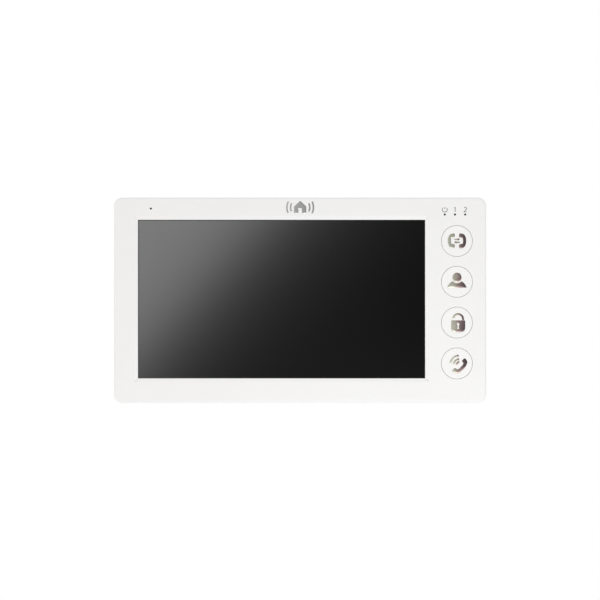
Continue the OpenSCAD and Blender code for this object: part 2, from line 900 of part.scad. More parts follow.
module control_bodies() {
    inwards = 1;
    end_gap = 0.15;
    color(black) up() for (y = wheel_ys) difference() {
        block(wheel_x + inwards, y, control_w, control_w, board_d - control_h, board_d);
        post(wheel_x, y, shaft_d / 2 + shaft_fit, board_d - control_h - cut,
            wheel_front + shaft_len + end_gap);
    }
}

module power_switch_body() {
    color(steel) up() difference() {
        block(board_left + slide_body_l / 2, slide_mid, slide_body_l, slide_body_w,
            board_d - slide_body_h, board_d);
        block(board_left, slide_mid, slide_body_l, knob_w + slide_travel + 2 * knob_fit,
            knob_low - knob_fit, knob_low + knob_d + knob_fit);
    }
}

module power_switch_knob() {
    outer = -(rear_half_w + knob_proud);
    inner = board_left + slide_body_l / 2 - knob_fit;
    color(black) up()
        block((outer + inner) / 2, slide_rest_y, inner - outer, knob_w, knob_low, knob_low + knob_d);
}

// Keys --------------------------------------------------------------------

module key(y) {
    tab_w = 2;
    stem_wall = 0.3;
    color(white) up() {
        post(key_x, y, key_d / 2, cap_low, case_d);
        post(key_x, y, flange_r, cap_low - flange_t, cap_low);
        block(key_x + flange_r, y, 2 * collar_t, tab_w, cap_low - flange_t, cap_low);
        post(key_x, y, plunger_d / 2 + stem_wall, stem_bottom, cap_low);
    }
}

module transfer_key() { key(key_ys[0]); }
module view_key() { key(key_ys[1]); }
module unlock_key() { key(key_ys[2]); }
module talk_key() { key(key_ys[3]); }

module plunger(y) {
    color("ivory") up() post(key_x, y, plunger_d / 2, plunger_low, stem_bottom);
}

module transfer_plunger() { plunger(key_ys[0]); }
module view_plunger() { plunger(key_ys[1]); }
module unlock_plunger() { plunger(key_ys[2]); }
module talk_plunger() { plunger(key_ys[3]); }

// Raised picture on a key
module icon(y) {
    color(chrome) up() translate([key_x, y, case_d]) linear_extrude(icon_t) children();
}

// Telephone handset seen from the side: a C that opens to the right, whose ears end at x = 0
module handset(h, w, thick, ear) {
    outer_r = 0.8 * w;
    inner_r = 0.5 * (w - thick);
    difference() {
        polygon(round_rect(2 * w, h, outer_r));
        polygon(round_rect(2 * (w - thick), h - 2 * ear, inner_r));
        translate([0, -h]) square([w + cut, 2 * h]);
    }
}

module arrow(l, h) {
    polygon([[-l / 2, -h / 6], [l / 8, -h / 6], [l / 8, -h / 2], [l / 2, 0], [l / 8, h / 2],
        [l / 8, h / 6], [-l / 2, h / 6]]);
}

module transfer_icon() {
    ear_gap = 2.2;
    arrow_w = 3.4;
    arrow_h = 1.5;
    arrow_off = 0.8;
    icon(key_ys[0]) {
        for (s = [0, 1]) mirror([s, 0]) translate([-ear_gap / 2, 0]) handset(8.2, 3.9, 1.75, 2.4);
        translate([0, arrow_off]) arrow(arrow_w, arrow_h);
        translate([0, -arrow_off]) mirror([1, 0]) arrow(arrow_w, arrow_h);
    }
}

module view_icon() {
    head_r = 2.55;
    head_y = 2.35;
    neck_gap = 0.6;
    shoulder_r = 5.3;
    shoulder_w = 5.2;
    shoulder_y = -4.35;
    foot_y = -3.25;
    icon(key_ys[1]) {
        translate([0, head_y]) circle(r = head_r);
        difference() {
            polygon(concat([[-shoulder_w, foot_y]], arc(0, shoulder_y, shoulder_r, 168, 12, 12),
                [[shoulder_w, foot_y]]));
            translate([0, head_y]) circle(r = head_r + neck_gap);
        }
    }
}

// Outline of a padlock's body, with a rounder foot than top
function lock_outline(w, h, r_top, r_foot) = concat(
    arc(w / 2 - r_top, h / 2 - r_top, r_top, 0, 90, corner_steps),
    arc(r_top - w / 2, h / 2 - r_top, r_top, 90, 180, corner_steps),
    arc(r_foot - w / 2, r_foot - h / 2, r_foot, 180, 270, corner_steps),
    arc(w / 2 - r_foot, r_foot - h / 2, r_foot, 270, 360, corner_steps)
);

module unlock_icon() {
    body_w = 7.7;
    body_h = 6.4;
    body_y = -2;
    bow_r = 3.2;
    bow_t = 1.1;
    bow_y = 1.9;
    top_r = 0.5;
    foot_r = 2.1;
    lock_x = 0.65;
    keyhole_r = 0.65;
    keyhole_y = -1.05;
    slit_top = 0.2;
    slit_foot = 0.5;
    slit_h = 2.5;
    icon(key_ys[2]) translate([lock_x, 0]) {
        difference() {
            translate([0, body_y]) polygon(lock_outline(body_w, body_h, top_r, foot_r));
            translate([0, keyhole_y]) {
                circle(r = keyhole_r);
                polygon([[slit_top, 0], [-slit_top, 0], [-slit_foot, -slit_h], [slit_foot, -slit_h]]);
            }
        }
        translate([0, bow_y]) polygon(ring_piece(bow_r, bow_r - bow_t, 0, 180));
        translate([bow_r - bow_t, body_y]) square([bow_t, bow_y - body_y]);
    }
}

module talk_icon() {
    handset_at = [0.65, -0.45];
    wave_t = 1;
    wave_at = [1.5, -0.9];
    icon(key_ys[3]) {
        translate(handset_at) rotate(135) handset(10, 3.9, 1.85, 2.5);
        for (r = [1.6, 3.15, 5.1]) translate(wave_at)
            polygon(ring_piece(r + wave_t / 2, r - wave_t / 2, 95, 175));
    }
}

// Small house with sound waves, on the top border
module front_badge() {
    wave_t = 0.9;
    half_w = 3.4;
    foot = -3.4;
    eaves = 0.6;
    roof = 3.8;
    door_w = 1.8;
    door_top = -0.8;
    color([0.7, 0.7, 0.69]) up() translate([0, badge_y, case_d]) linear_extrude(badge_t) {
        difference() {
            polygon([[-half_w, foot], [half_w, foot], [half_w, eaves], [0, roof], [-half_w, eaves]]);
            translate([-door_w / 2, foot - cut]) square([door_w, door_top - foot + cut]);
        }
        for (s = [0, 1], r = [5.2, 7.2]) mirror([s, 0])
            polygon(ring_piece(r + wave_t / 2, r - wave_t / 2, -28, 28));
    }
}

// Printed power sign: a ring open at the top, with a bar standing in the opening
module power_sign(r, line) {
    opening = 35;
    bar_h = 1.3;
    polygon(ring_piece(r, r - line, 90 + opening, 450 - opening));
    translate([-line / 2, r - bar_h + line / 2]) square([line, bar_h]);
}

// Printed digit 1: a bar with a slanting flag
module one_sign(h, line) {
    flag = 0.9;
    translate([-line / 2, -h / 2]) square([line, h]);
    translate([line / 2, h / 2]) rotate(215) square([flag, line]);
}

// Printed digit 2: an arc, a slanting bar and a foot
module two_sign(h, line) {
    r = 0.85;
    turn = -35;
    outer = [r * cos(turn), h / 2 - r + r * sin(turn)];
    inner = [(r - line) * cos(turn), h / 2 - r + (r - line) * sin(turn)];
    translate([0, h / 2 - r]) polygon(ring_piece(r, r - line, turn, 165));
    polygon([outer, inner, [-r, line - h / 2], [line / 2 - r, line / 2 - h / 2]]);
    translate([-r, -h / 2]) square([2 * r, line]);
}

// Signs printed on the face above the three lamps
module lamp_signs() {
    line = 0.4;
    digit_h = 2.7;
    ring_r = 1.45;
    color([0.6, 0.6, 0.6]) up() translate([0, lamp_y + sign_up, case_d]) linear_extrude(sign_t) {
        translate([lamp_xs[0], 0]) power_sign(ring_r, line);
        translate([lamp_xs[1], 0]) one_sign(digit_h, line);
        translate([lamp_xs[2], 0]) two_sign(digit_h, line);
    }
}

// Wall bracket ------------------------------------------------------------

module hook(sx, y) {
    x = sx * (bracket_w / 2 - bracket_t / 2);
    block(x, y - hook_stem / 2, bracket_t, hook_stem, 0, hook_front);
    block(x, y + hook_lip / 2 - eps, bracket_t, hook_lip + 2 * eps, hook_front - hook_thick, hook_front);
}

module wall_bracket() {
    corner = 4;
    hole_r = wall_hole_d / 2;
    color(steel) up() {
        difference() {
            plate(bracket_w, bracket_h, corner, bracket_t);
            translate([0, 0, -cut]) plate(cable_w, cable_h, corner / 2, bracket_t + 2 * cut);
            for (sx = [-1, 1], sy = [-1, 1])
                post(sx * hole_span_x / 2, sy * hole_span_y / 2, hole_r, -cut, bracket_t + cut);
            for (sx = [-1, 1]) post(sx * box_span / 2, 0, hole_r, -cut, bracket_t + cut);
        }
        for (sx = [-1, 1], sy = [-1, 1]) hook(sx, sy * hook_y);
    }
}

front_cover();
screen_window();
window_tape();
screen_foam();
display_cell();
display_frame();
backlight();
display_clips();
clip_screws();
display_ribbon();
main_board();
board_chips();
capacitors();
power_coil();
station_sockets();
power_socket();
board_screws();
key_board();
key_ribbon();
switch_bodies();
status_lamps();
light_guide();
key_board_screws();
microphone();
mic_boot();
mic_lead();
speaker();
speaker_foam();
speaker_screws();
speaker_lead();
rear_cover();
case_screws();
blank_label();
control_bodies();
power_switch_body();
front_badge();
lamp_signs();
transfer_key();
view_key();
unlock_key();
talk_key();
transfer_icon();
view_icon();
unlock_icon();
talk_icon();
transfer_plunger();
view_plunger();
unlock_plunger();
talk_plunger();
volume_wheel();
brightness_wheel();
colour_wheel();
power_switch_knob();
wall_bracket();
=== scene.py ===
# %% [markdown]
# # A wall-hung video intercom monitor
# The monitor is a flat white box with a dark screen, four round keys with bright metal pictures,
# and three pin-sized lamps. Its parts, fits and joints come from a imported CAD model. These cells
# give it looks: surfaces worked out with numpy where the eye rests, and a procedural finish for
# everything. The row frame has X to the right, Z up, and the front face towards -Y, so a depth
# counted from the wall is minus Y.

import bmesh
import bpy
import numpy as np
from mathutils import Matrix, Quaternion, Vector


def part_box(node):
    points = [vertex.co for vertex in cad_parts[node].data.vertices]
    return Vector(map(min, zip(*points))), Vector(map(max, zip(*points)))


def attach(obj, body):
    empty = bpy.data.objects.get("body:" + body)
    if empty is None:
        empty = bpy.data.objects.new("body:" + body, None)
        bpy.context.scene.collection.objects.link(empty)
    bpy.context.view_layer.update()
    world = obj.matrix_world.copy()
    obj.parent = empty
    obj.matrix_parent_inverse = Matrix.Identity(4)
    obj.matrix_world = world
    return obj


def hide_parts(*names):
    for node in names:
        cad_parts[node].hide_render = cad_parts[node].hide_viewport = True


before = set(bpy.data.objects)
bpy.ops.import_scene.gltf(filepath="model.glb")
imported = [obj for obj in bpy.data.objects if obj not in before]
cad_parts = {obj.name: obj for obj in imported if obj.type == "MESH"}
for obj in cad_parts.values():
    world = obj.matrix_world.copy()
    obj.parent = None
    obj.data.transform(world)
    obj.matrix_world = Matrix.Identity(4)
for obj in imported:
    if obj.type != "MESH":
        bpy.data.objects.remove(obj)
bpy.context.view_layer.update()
MM = 0.001

# %% [markdown]
# ## Sizes
# Each place is read from the CAD nodes' boxes. What a box can't say, such as a rounding or a wall,
# is named here once, in metres.

# %% Places read from the frame


def box(node):
    """Lowest and highest corner of a node, rounded to a tenth of a micrometre."""
    return [np.round(corner, 7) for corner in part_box(node)]


(_, FRONT, _), (HALF_W, PART, HALF_H) = box("front_cover") * np.array([1, -1, 1])
(window_x0, _, window_z0), (window_x1, _, window_z1) = box("screen_window")

WINDOW_LAP = 2.6 * MM
WINDOW_FIT = 0.15 * MM
screen_x = (window_x0 + window_x1) / 2
screen_z = (window_z0 + window_z1) / 2
screen_w = window_x1 - window_x0 - 2 * WINDOW_LAP
screen_h = window_z1 - window_z0 - 2 * WINDOW_LAP


def middle(node):
    """Middle of a node's box: x, z and the depth of its front."""
    low, high = box(node)
    return (low[0] + high[0]) / 2, (low[2] + high[2]) / 2, -low[1]


KEYS = ("transfer", "view", "unlock", "talk")
key_x = middle("transfer_plunger")[0]
key_z = [middle(name + "_plunger")[1] for name in KEYS]
lamp_low, lamp_high = box("status_lamps")
LAMP_HALF = 0.8 * MM
lamp_x = np.linspace(lamp_low[0] + LAMP_HALF, lamp_high[0] - LAMP_HALF, 3)
lamp_z = middle("status_lamps")[1]
mic_x, mic_z = middle("microphone")[:2]
print("screen", round(screen_w / MM, 1), "x", round(screen_h / MM, 1), "mm")
print("keys at z", [round(z / MM, 2) for z in key_z])

# %% Sizes that a box can't say
CORNER_R = 4.5 * MM
EDGE_R = 1.1 * MM
FRONT_T = 2 * MM
WALL_T = 2 * MM
BEVEL_W = 2 * MM
BEVEL_D = 0.4 * MM
LIP_DEPTH = 0.95 * MM
KEY_R = 8.35 * MM
HOLE_R = 8.5 * MM
PIN_R = 0.575 * MM
FACE_BACK = FRONT - FRONT_T

# %% [markdown]
# ## Camera
# The object is seen straight on from far away, so hardly any of its sides shows. A long lens does
# that: the frame is a little more than one and a half times the monitor's width.

# %% Camera
VIEW_DISTANCE = 1.6
FRAME_WIDTH = 325.56 * MM
SENSOR = 36
camera_data = bpy.data.cameras.new("camera")
camera_data.sensor_width = SENSOR
camera_data.lens = SENSOR * VIEW_DISTANCE / FRAME_WIDTH
camera_data.clip_start = 0.05
camera = bpy.data.objects.new("camera", camera_data)
camera.location = (-0.05 * MM, -FRONT - VIEW_DISTANCE, 0.16 * MM)
camera.rotation_euler = (np.pi / 2, 0, 0)
bpy.context.scene.collection.objects.link(camera)
bpy.context.scene.camera = camera
print("lens", round(camera_data.lens, 1), "mm")

# %% [markdown]
# ## From arrays to meshes
# A piece is a list of patches. A patch is an array of points, an array of four-cornered faces and
# a flag for smooth shading. Joining them merges the points they share, so the patches close up.

# %% Patches and pieces


def quads(rows, columns, round_rows=False):
    """Faces of a grid of rows x columns points; round rows join the last row to the first."""
    i = np.arange(rows if round_rows else rows - 1)[:, None]
    j = np.arange(columns - 1)[None, :]
    i2, j2 = (i + 1) % rows, j + 1
    corners = [i * columns + j, i2 * columns + j, i2 * columns + j2, i * columns + j2]
    corners = [np.broadcast_to(corner, (i.size, j.size)) for corner in corners]
    return np.stack(corners, axis=-1).reshape(-1, 4)


def place(x, z, depth):
    """Points in the row frame from places on the front and depths counted from the wall."""
    x, z, depth = np.broadcast_arrays(x, z, depth)
    return np.stack([x, -depth, z], axis=-1)


def clean(mesh, reach=2e-6):
    """Merges points that lie on each other, drops empty faces and turns every face outwards."""
    work = bmesh.new()
    work.from_mesh(mesh)
    bmesh.ops.remove_doubles(work, verts=work.verts, dist=reach)
    bmesh.ops.dissolve_degenerate(work, edges=work.edges, dist=reach)
    bmesh.ops.recalc_face_normals(work, faces=work.faces)
    work.to_mesh(mesh)
    work.free()


def piece(name, patches, body, material, replaces=()):
    """Joins patches into one object that rides on a body."""
    starts = np.cumsum([0] + [len(p[0]) for p in patches[:-1]])
    points = np.concatenate([p[0] for p in patches])
    faces = np.concatenate([p[1] + start for p, start in zip(patches, starts)])
    smooth = np.concatenate([np.full(len(p[1]), p[2]) for p in patches])
    mesh = bpy.data.meshes.new(name)
    mesh.from_pydata(points.tolist(), [], faces.tolist())
    mesh.polygons.foreach_set("use_smooth", smooth)
    clean(mesh)
    made = bpy.data.objects.new(name, mesh)
    bpy.context.scene.collection.objects.link(made)
    mesh.materials.append(material)
    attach(made, body)
    if replaces:
        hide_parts(*replaces)
    print(name, len(mesh.polygons), "faces")
    return made


# %% [markdown]
# ## A profile carried along a path
# Most of this object is one idea: an edge profile that runs round something. Round the housing it
# makes the rounded edge and the side walls, round the screen it makes the bevel, and round a point
# it makes a turned part such as a key.

# %% Carry, ring and fillet


def carry(points, outward, offsets, depths, smooth=True):
    """Point (i, j) lies at points[i] + outward[i] * offsets[j], at depth depths[j]."""
    x = points[:, None, 0] + outward[:, None, 0] * offsets[None, :]
    z = points[:, None, 1] + outward[:, None, 1] * offsets[None, :]
    grid = place(x, z, np.broadcast_to(depths[None, :], x.shape))
    return grid.reshape(-1, 3), quads(len(points), len(offsets), round_rows=True), smooth


def ring(x, z, count=96):
    """A path that stays at one point while its outward direction turns once."""
    angle = np.linspace(0, 2 * np.pi, count, endpoint=False)
    outward = np.stack([np.cos(angle), np.sin(angle)], axis=-1)
    return np.tile([x, z], (count, 1)), outward


def fillet(offset, depth, radius, start, end, steps=6):
    """Offsets and depths of an arc round (offset, depth), from angle start to end in degrees."""
    angle = np.radians(np.linspace(start, end, steps + 1))
    return offset + radius * np.cos(angle), depth + radius * np.sin(angle)


def profile(*stretches):
    """Joins stretches of (offsets, depths) into two arrays."""
    offsets = np.concatenate([np.atleast_1d(s[0]) for s in stretches])
    depths = np.concatenate([np.atleast_1d(s[1]) for s in stretches])
    return offsets, depths


# %% [markdown]
# ## Finishes
# Every finish is a Principled shader with noise behind its colour, roughness and bump. Noise reads
# Object coordinates, which are metres here, so a noise scale of 1000 has features of a millimetre.
# Values that are the same everywhere stay on the shader's own sockets.

# %% Shader helpers


def new_material(name, **sockets):
    """A material and its node tree, with the shader's constant sockets set by name."""
    material = bpy.data.materials.new(name)
    material.use_nodes = True
    shader = material.node_tree.nodes["Principled BSDF"]
    for socket, value in sockets.items():
        shader.inputs[socket.replace("_", " ")].default_value = value
    return material, material.node_tree


def add(tree, kind, *numbered, operation=None, **named):
    """A node whose inputs, by number or by name, are linked to a socket or set to a value."""
    node = tree.nodes.new("ShaderNode" + kind)
    if operation:
        node.operation = operation
    named = {name.replace("_", " "): value for name, value in named.items()}
    for key, value in (*enumerate(numbered), *named.items()):
        if isinstance(value, bpy.types.NodeSocket):
            tree.links.new(value, node.inputs[key])
        else:
            node.inputs[key].default_value = value
    return node


def coordinates(tree, scale=(1, 1, 1), location=(0, 0, 0), rotation=(0, 0, 0)):
    """Object coordinates, scaled, turned and moved."""
    source = add(tree, "TexCoord").outputs["Object"]
    mapping = add(tree, "Mapping", source, Scale=scale, Location=location, Rotation=rotation)
    return mapping.outputs["Vector"]


def noise(tree, scale, detail=3, stretch=(1, 1, 1), roughness=0.5):
    """Noise from 0 to 1 whose features are about 1/scale metres wide."""
    source = coordinates(tree, stretch)
    node = add(tree, "TexNoise", source, Scale=scale, Detail=detail, Roughness=roughness)
    return node.outputs["Fac"]


def spread(tree, value, low, high, start=0.0, end=1.0):
    """Maps a value from start..end to low..high."""
    node = add(tree, "MapRange", value, From_Min=start, From_Max=end, To_Min=low, To_Max=high)
    return node.outputs["Result"]


def ramp(tree, value, stops):
    """Colours along a value: stops are (position, (r, g, b))."""
    node = add(tree, "ValToRGB", value)
    band = node.color_ramp
    while len(band.elements) < len(stops):
        band.elements.new(0.5)
    for element, (position, colour) in zip(band.elements, stops):
        element.position = position
        element.color = (*colour, 1)
    return node.outputs["Color"]


def dress(tree, colour, rough, height, strength, distance):
    """Links a colour and a roughness to the shader, and bumps it by a height map."""
    relief = add(tree, "Bump", Height=height, Strength=strength, Distance=distance)
    inputs = tree.nodes["Principled BSDF"].inputs
    tree.links.new(colour, inputs["Base Color"])
    tree.links.new(rough, inputs["Roughness"])
    tree.links.new(relief.outputs["Normal"], inputs["Normal"])


def shaded(colour, shade):
    """Two ramp stops: the colour darkened by a share, then the colour."""
    return [(0.3, [c * (1 - shade) for c in colour]), (0.7, colour)]


DRIFT_SCALE = 60
GLOSS_SCALE = 350


def plastic(name, colour, rough, grain=1800, grain_height=0.02, shade=0.02, **sockets):
    """Moulded plastic: slight colour drift, uneven gloss and a fine skin like orange peel."""
    material, tree = new_material(name, **sockets)
    drift = ramp(tree, noise(tree, DRIFT_SCALE, 2), shaded(colour, shade))
    gloss = spread(tree, noise(tree, GLOSS_SCALE), rough * 0.85, rough * 1.15)
    dress(tree, drift, gloss, noise(tree, grain, 2), 0.3, grain_height * MM)
    return material


def metal(name, colour, rough, stretch, scratch, scratch_height, shade=0.1):
    """Metal: fine drawn marks in the bump and the gloss."""
    material, tree = new_material(name, Metallic=1.0)
    marks = noise(tree, scratch, 5, stretch, 0.65)
    gloss = spread(tree, marks, rough * 0.7, rough * 1.3)
    dress(tree, ramp(tree, marks, shaded(colour, shade)), gloss, marks, 0.4, scratch_height * MM)
    return material


# %% [markdown]
# ## White gloss plastic
# The covers and keys are gloss ABS. Its white is a touch warm, its skin nearly but not quite
# smooth. The keys are moulded apart from the cover and come out a little brighter.

# %% White plastics
SHINE = {"Specular_IOR_Level": 0.4}
cover_white = plastic("cover_white", (0.868, 0.863, 0.857), 0.3, 900, 0.01, 0.012, **SHINE)
rear_white = plastic("rear_white", (0.84, 0.83, 0.82), 0.5, 3500, 0.05, 0.02, **SHINE)
key_white = plastic("key_white", (0.885, 0.879, 0.87), 0.25, 900, 0.008, 0.01, **SHINE)

# %% [markdown]
# ## Front cover
# The cover is moulded in one piece: a flat face, a rounded edge, straight side walls, and openings
# for the screen, the keys, the lamps and the microphone. A boolean could cut the openings, but it
# leaves long thin faces that shade badly. Here the face is a grid whose lines pass through the
# edges of every opening's own cell. In a cell with a round hole, the grid is swapped for rings
# that turn from the cell's outline into the hole's circle, so points on a shared line match and
# the skin closes. Collars round the keys and bosses for the screws stand behind the face.

# %% Grid lines of the face


def lines(stops, step=1.2 * MM):
    """Coordinates that hit every stop, with about one step between them."""
    parts = []
    for low, high in zip(stops[:-1], stops[1:]):
        count = max(1, round((high - low) / step))
        parts.append(np.linspace(low, high, count, endpoint=False))
    return np.concatenate(parts + [[stops[-1]]])


SEAT = WINDOW_LAP + WINDOW_FIT
KEY_HOLE_SOFT = 0.28 * MM
PIN_SOFT = 0.04 * MM
PIN_CELL = 2.4 * MM
MIC_CELL_GAP = 1.2 * MM
face_x = HALF_W - CORNER_R
face_z = HALF_H - CORNER_R
screen_cell = (
    screen_x - screen_w / 2 - SEAT,
    screen_x + screen_w / 2 + SEAT,
    screen_z - screen_h / 2 - SEAT,
    screen_z + screen_h / 2 + SEAT,
)
pitch = (key_z[0] - key_z[-1]) / (len(KEYS) - 1)
key_cells = [
    (screen_cell[1], face_x, max(z - pitch / 2, screen_cell[2]), z + pitch / 2) for z in key_z
]
lamp_pitch = lamp_x[1] - lamp_x[0]
lamp_low_z, lamp_high_z = key_cells[0][3] + MM, lamp_z + PIN_CELL
lamp_cells = [(x - lamp_pitch / 2, x + lamp_pitch / 2, lamp_low_z, lamp_high_z) for x in lamp_x]
mic_cell = (mic_x - PIN_CELL, mic_x + PIN_CELL, screen_cell[3] + MIC_CELL_GAP, face_z)
round_holes = [(key_x, z, HOLE_R, KEY_HOLE_SOFT, cell) for z, cell in zip(key_z, key_cells)]
round_holes += [(x, lamp_z, PIN_R, PIN_SOFT, cell) for x, cell in zip(lamp_x, lamp_cells)]
round_holes.append((mic_x, mic_z, PIN_R, PIN_SOFT, mic_cell))
cells = [screen_cell] + [hole[4] for hole in round_holes]
whole_face = (-face_x, face_x, -face_z, face_z)
stops_x = np.unique(np.round([v for c in [whole_face, *cells] for v in c[:2]], 7))
stops_z = np.unique(np.round([v for c in [whole_face, *cells] for v in c[2:]], 7))
grid_x, grid_z = lines(stops_x), lines(stops_z)
print("face grid", len(grid_x), "x", len(grid_z))

# %% The face with its openings


def cell_outline(cell):
    """The grid's points round a cell, anticlockwise from its lower left corner."""
    reach = 1e-6
    x = grid_x[(grid_x > cell[0] - reach) & (grid_x < cell[1] + reach)]
    z = grid_z[(grid_z > cell[2] - reach) & (grid_z < cell[3] + reach)]
    below = np.stack([x[:-1], np.full(len(x) - 1, z[0])], axis=-1)
    right = np.stack([np.full(len(z) - 1, x[-1]), z[:-1]], axis=-1)
    above = np.stack([x[:0:-1], np.full(len(x) - 1, z[-1])], axis=-1)
    left = np.stack([np.full(len(z) - 1, x[0]), z[:0:-1]], axis=-1)
    return np.concatenate([below, right, above, left])


def flat_face(depth):
    """The grid at one depth, without the faces that lie inside a cell."""
    x, z = np.meshgrid(grid_x, grid_z, indexing="ij")
    faces = quads(len(grid_x), len(grid_z))
    mid_x = ((grid_x[:-1] + grid_x[1:]) / 2)[:, None]
    mid_z = ((grid_z[:-1] + grid_z[1:]) / 2)[None, :]
    keep = np.ones((len(grid_x) - 1, len(grid_z) - 1), bool)
    for low_x, high_x, low_z, high_z in cells:
        keep &= ~((mid_x > low_x) & (mid_x < high_x) & (mid_z > low_z) & (mid_z < high_z))
    return place(x, z, depth).reshape(-1, 3), faces[keep.ravel()], False


def rays_to(x, z, cell):
    """A cell's outline, and the directions from a point to it."""
    outline = cell_outline(cell)
    towards = outline - [x, z]
    return outline, towards / np.linalg.norm(towards, axis=1, keepdims=True)


def cell_to_hole(x, z, radius, cell, depth, steps=5):
    """Rings that turn a cell's outline into a circle, as straight lines to the hole's centre."""
    outline, towards = rays_to(x, z, cell)
    rim = np.array([x, z]) + towards * radius
    share = np.linspace(0, 1, steps)[None, :, None]
    grid = outline[:, None, :] * (1 - share) + rim[:, None, :] * share
    patch = place(grid[..., 0], grid[..., 1], depth).reshape(-1, 3)
    return patch, quads(len(outline), steps, round_rows=True), False


def hole_wall(x, z, radius, soft, cell):
    """A hole's rounded rim and its wall, carried round the hole."""
    towards = rays_to(x, z, cell)[1]
    rim = fillet(radius + soft, FRONT - soft, soft, 90, 180)
    return carry(np.tile([x, z], (len(towards), 1)), towards, *profile(rim, (radius, FACE_BACK)))


def rectangle(cell, corner_steps=0, inwards=False):
    """Path round a cell and its outward direction; a corner turns in steps, or is mitred."""
    outline = cell_outline(cell)
    normal = np.zeros_like(outline)
    for axis, (low, high) in enumerate((cell[:2], cell[2:])):
        normal[:, axis] += np.isclose(outline[:, axis], high, atol=1e-6)
        normal[:, axis] -= np.isclose(outline[:, axis], low, atol=1e-6)
    if corner_steps:
        is_corner = np.abs(normal).sum(axis=1) > 1.5
        turns = np.where(is_corner, corner_steps + 1, 1)
        share = np.concatenate([np.linspace(-1, 1, n) if n > 1 else [0.0] for n in turns])
        outline, normal = [np.repeat(a, turns, axis=0) for a in (outline, normal)]
        angle = np.arctan2(normal[:, 1], normal[:, 0]) + share * np.pi / 4
        normal = np.stack([np.cos(angle), np.sin(angle)], axis=-1)
    return outline, -normal if inwards else normal


# %% Collars and screw bosses behind the face
COLLAR_IN = 9.5 * MM
COLLAR_OUT = 10.5 * MM
COLLAR_DEPTH = 2.6 * MM
BOSS_IN = 1.25 * MM
BOSS_OUT = 2.7 * MM
BOSS_END = 8 * MM
HEAD_DISC = 2.4 * MM
JOIN = 0.3 * MM
screws_low, screws_high = box("case_screws")
screw_x, screw_z = screws_high[0] - HEAD_DISC, screws_high[2] - HEAD_DISC
screw_places = [(sx * screw_x, sz * screw_z) for sx in (-1, 1) for sz in (-1, 1)]


def tube(x, z, inner, outer, low, high):
    """A ring-shaped wall: a rectangle from (inner, low) to (outer, high), carried round a point."""
    wall = profile(([inner, outer, outer, inner, inner], [low, low, high, high, low]))
    return carry(*ring(x, z, 64), *wall, smooth=False)


collar_back, tube_end = FACE_BACK - COLLAR_DEPTH, FACE_BACK + JOIN
behind_face = [tube(key_x, z, COLLAR_IN, COLLAR_OUT, collar_back, tube_end) for z in key_z]
behind_face += [tube(x, z, BOSS_IN, BOSS_OUT, BOSS_END, tube_end) for x, z in screw_places]
print(len(behind_face), "tubes, screws at", round(screw_x / MM, 2), round(screw_z / MM, 2))

# %% Assemble the front cover
PART_SOFT = 0.2 * MM
edge_in = CORNER_R - EDGE_R
outer_profile = profile(
    ([0, edge_in / 2], [FRONT, FRONT]),
    fillet(edge_in, FRONT - EDGE_R, EDGE_R, 90, 0, 10),
    fillet(CORNER_R - PART_SOFT, PART + PART_SOFT, PART_SOFT, 0, -90, 4),
    ([CORNER_R - WALL_T] * 2, [PART, FACE_BACK]),
    (0, FACE_BACK),
)
screen_profile = profile(
    ([0, SEAT - BEVEL_W], [FRONT, FRONT]),
    ([SEAT, SEAT], [FRONT - BEVEL_D, FRONT - LIP_DEPTH]),
    ([0, 0], [FRONT - LIP_DEPTH, FACE_BACK]),
)
cover_patches = [
    flat_face(FRONT),
    flat_face(FACE_BACK),
    carry(*rectangle(whole_face, corner_steps=10), *outer_profile),
    carry(*rectangle(screen_cell, inwards=True), *screen_profile, smooth=False),
    *behind_face,
]
for x, z, radius, soft, cell in round_holes:
    cover_patches.append(cell_to_hole(x, z, radius + soft, cell, FRONT))
    cover_patches.append(cell_to_hole(x, z, radius, cell, FACE_BACK))
    cover_patches.append(hole_wall(x, z, radius, soft, cell))
piece("front_skin", cover_patches, "monitor", cover_white, ["front_cover"])

# %% [markdown]
# ## Studio
# White goods are lit by a white room: light from all sides, hardly any shadow. The world is that
# room, and a little more of its light comes from the left, from above and from behind. What
# mirrors in gloss is another matter. A real studio is bright to the left, where the soft boxes
# are, and dark to the right, and polished metal shows just that. So the world has one brightness
# for what the camera sees, one for matt surfaces, and a soft picture of the room for gloss.

# %% World
ROOM_LIGHT = 0.88
LEAN = (-0.12, 0.12, 0.08)
WHITE = (1, 1, 1, 1)
MIRRORED = [
    (0.1, (0.85, 0.86, 0.82)), (0.45, (0.55, 0.55, 0.54)),
    (0.55, (0.5, 0.5, 0.5)), (0.9, (0.2, 0.19, 0.2)),
]
world = bpy.data.worlds.new("studio")
bpy.context.scene.world = world
world.use_nodes = True
sky = world.node_tree
sky.nodes.clear()
rays = add(sky, "LightPath")
direction = add(sky, "TexCoord").outputs["Generated"]
left_to_right = spread(sky, add(sky, "SeparateXYZ", direction).outputs["X"], 0, 1, -1, 1)
room = add(sky, "Background", ramp(sky, left_to_right, MIRRORED), 1)
lean = add(sky, "VectorMath", direction, LEAN, operation="DOT_PRODUCT").outputs["Value"]
brightness = add(sky, "Math", lean, ROOM_LIGHT, ROOM_LIGHT, operation="MULTIPLY_ADD")
matt = add(sky, "Background", WHITE, brightness.outputs[0])
seen = add(sky, "Background", WHITE, 1)
is_gloss, is_camera = rays.outputs["Is Glossy Ray"], rays.outputs["Is Camera Ray"]
by_gloss = add(sky, "MixShader", is_gloss, matt.outputs[0], room.outputs[0])
by_camera = add(sky, "MixShader", is_camera, by_gloss.outputs[0], seen.outputs[0])
add(sky, "OutputWorld", by_camera.outputs[0])
bpy.context.scene.view_settings.view_transform = "Standard"

# %% Lamps


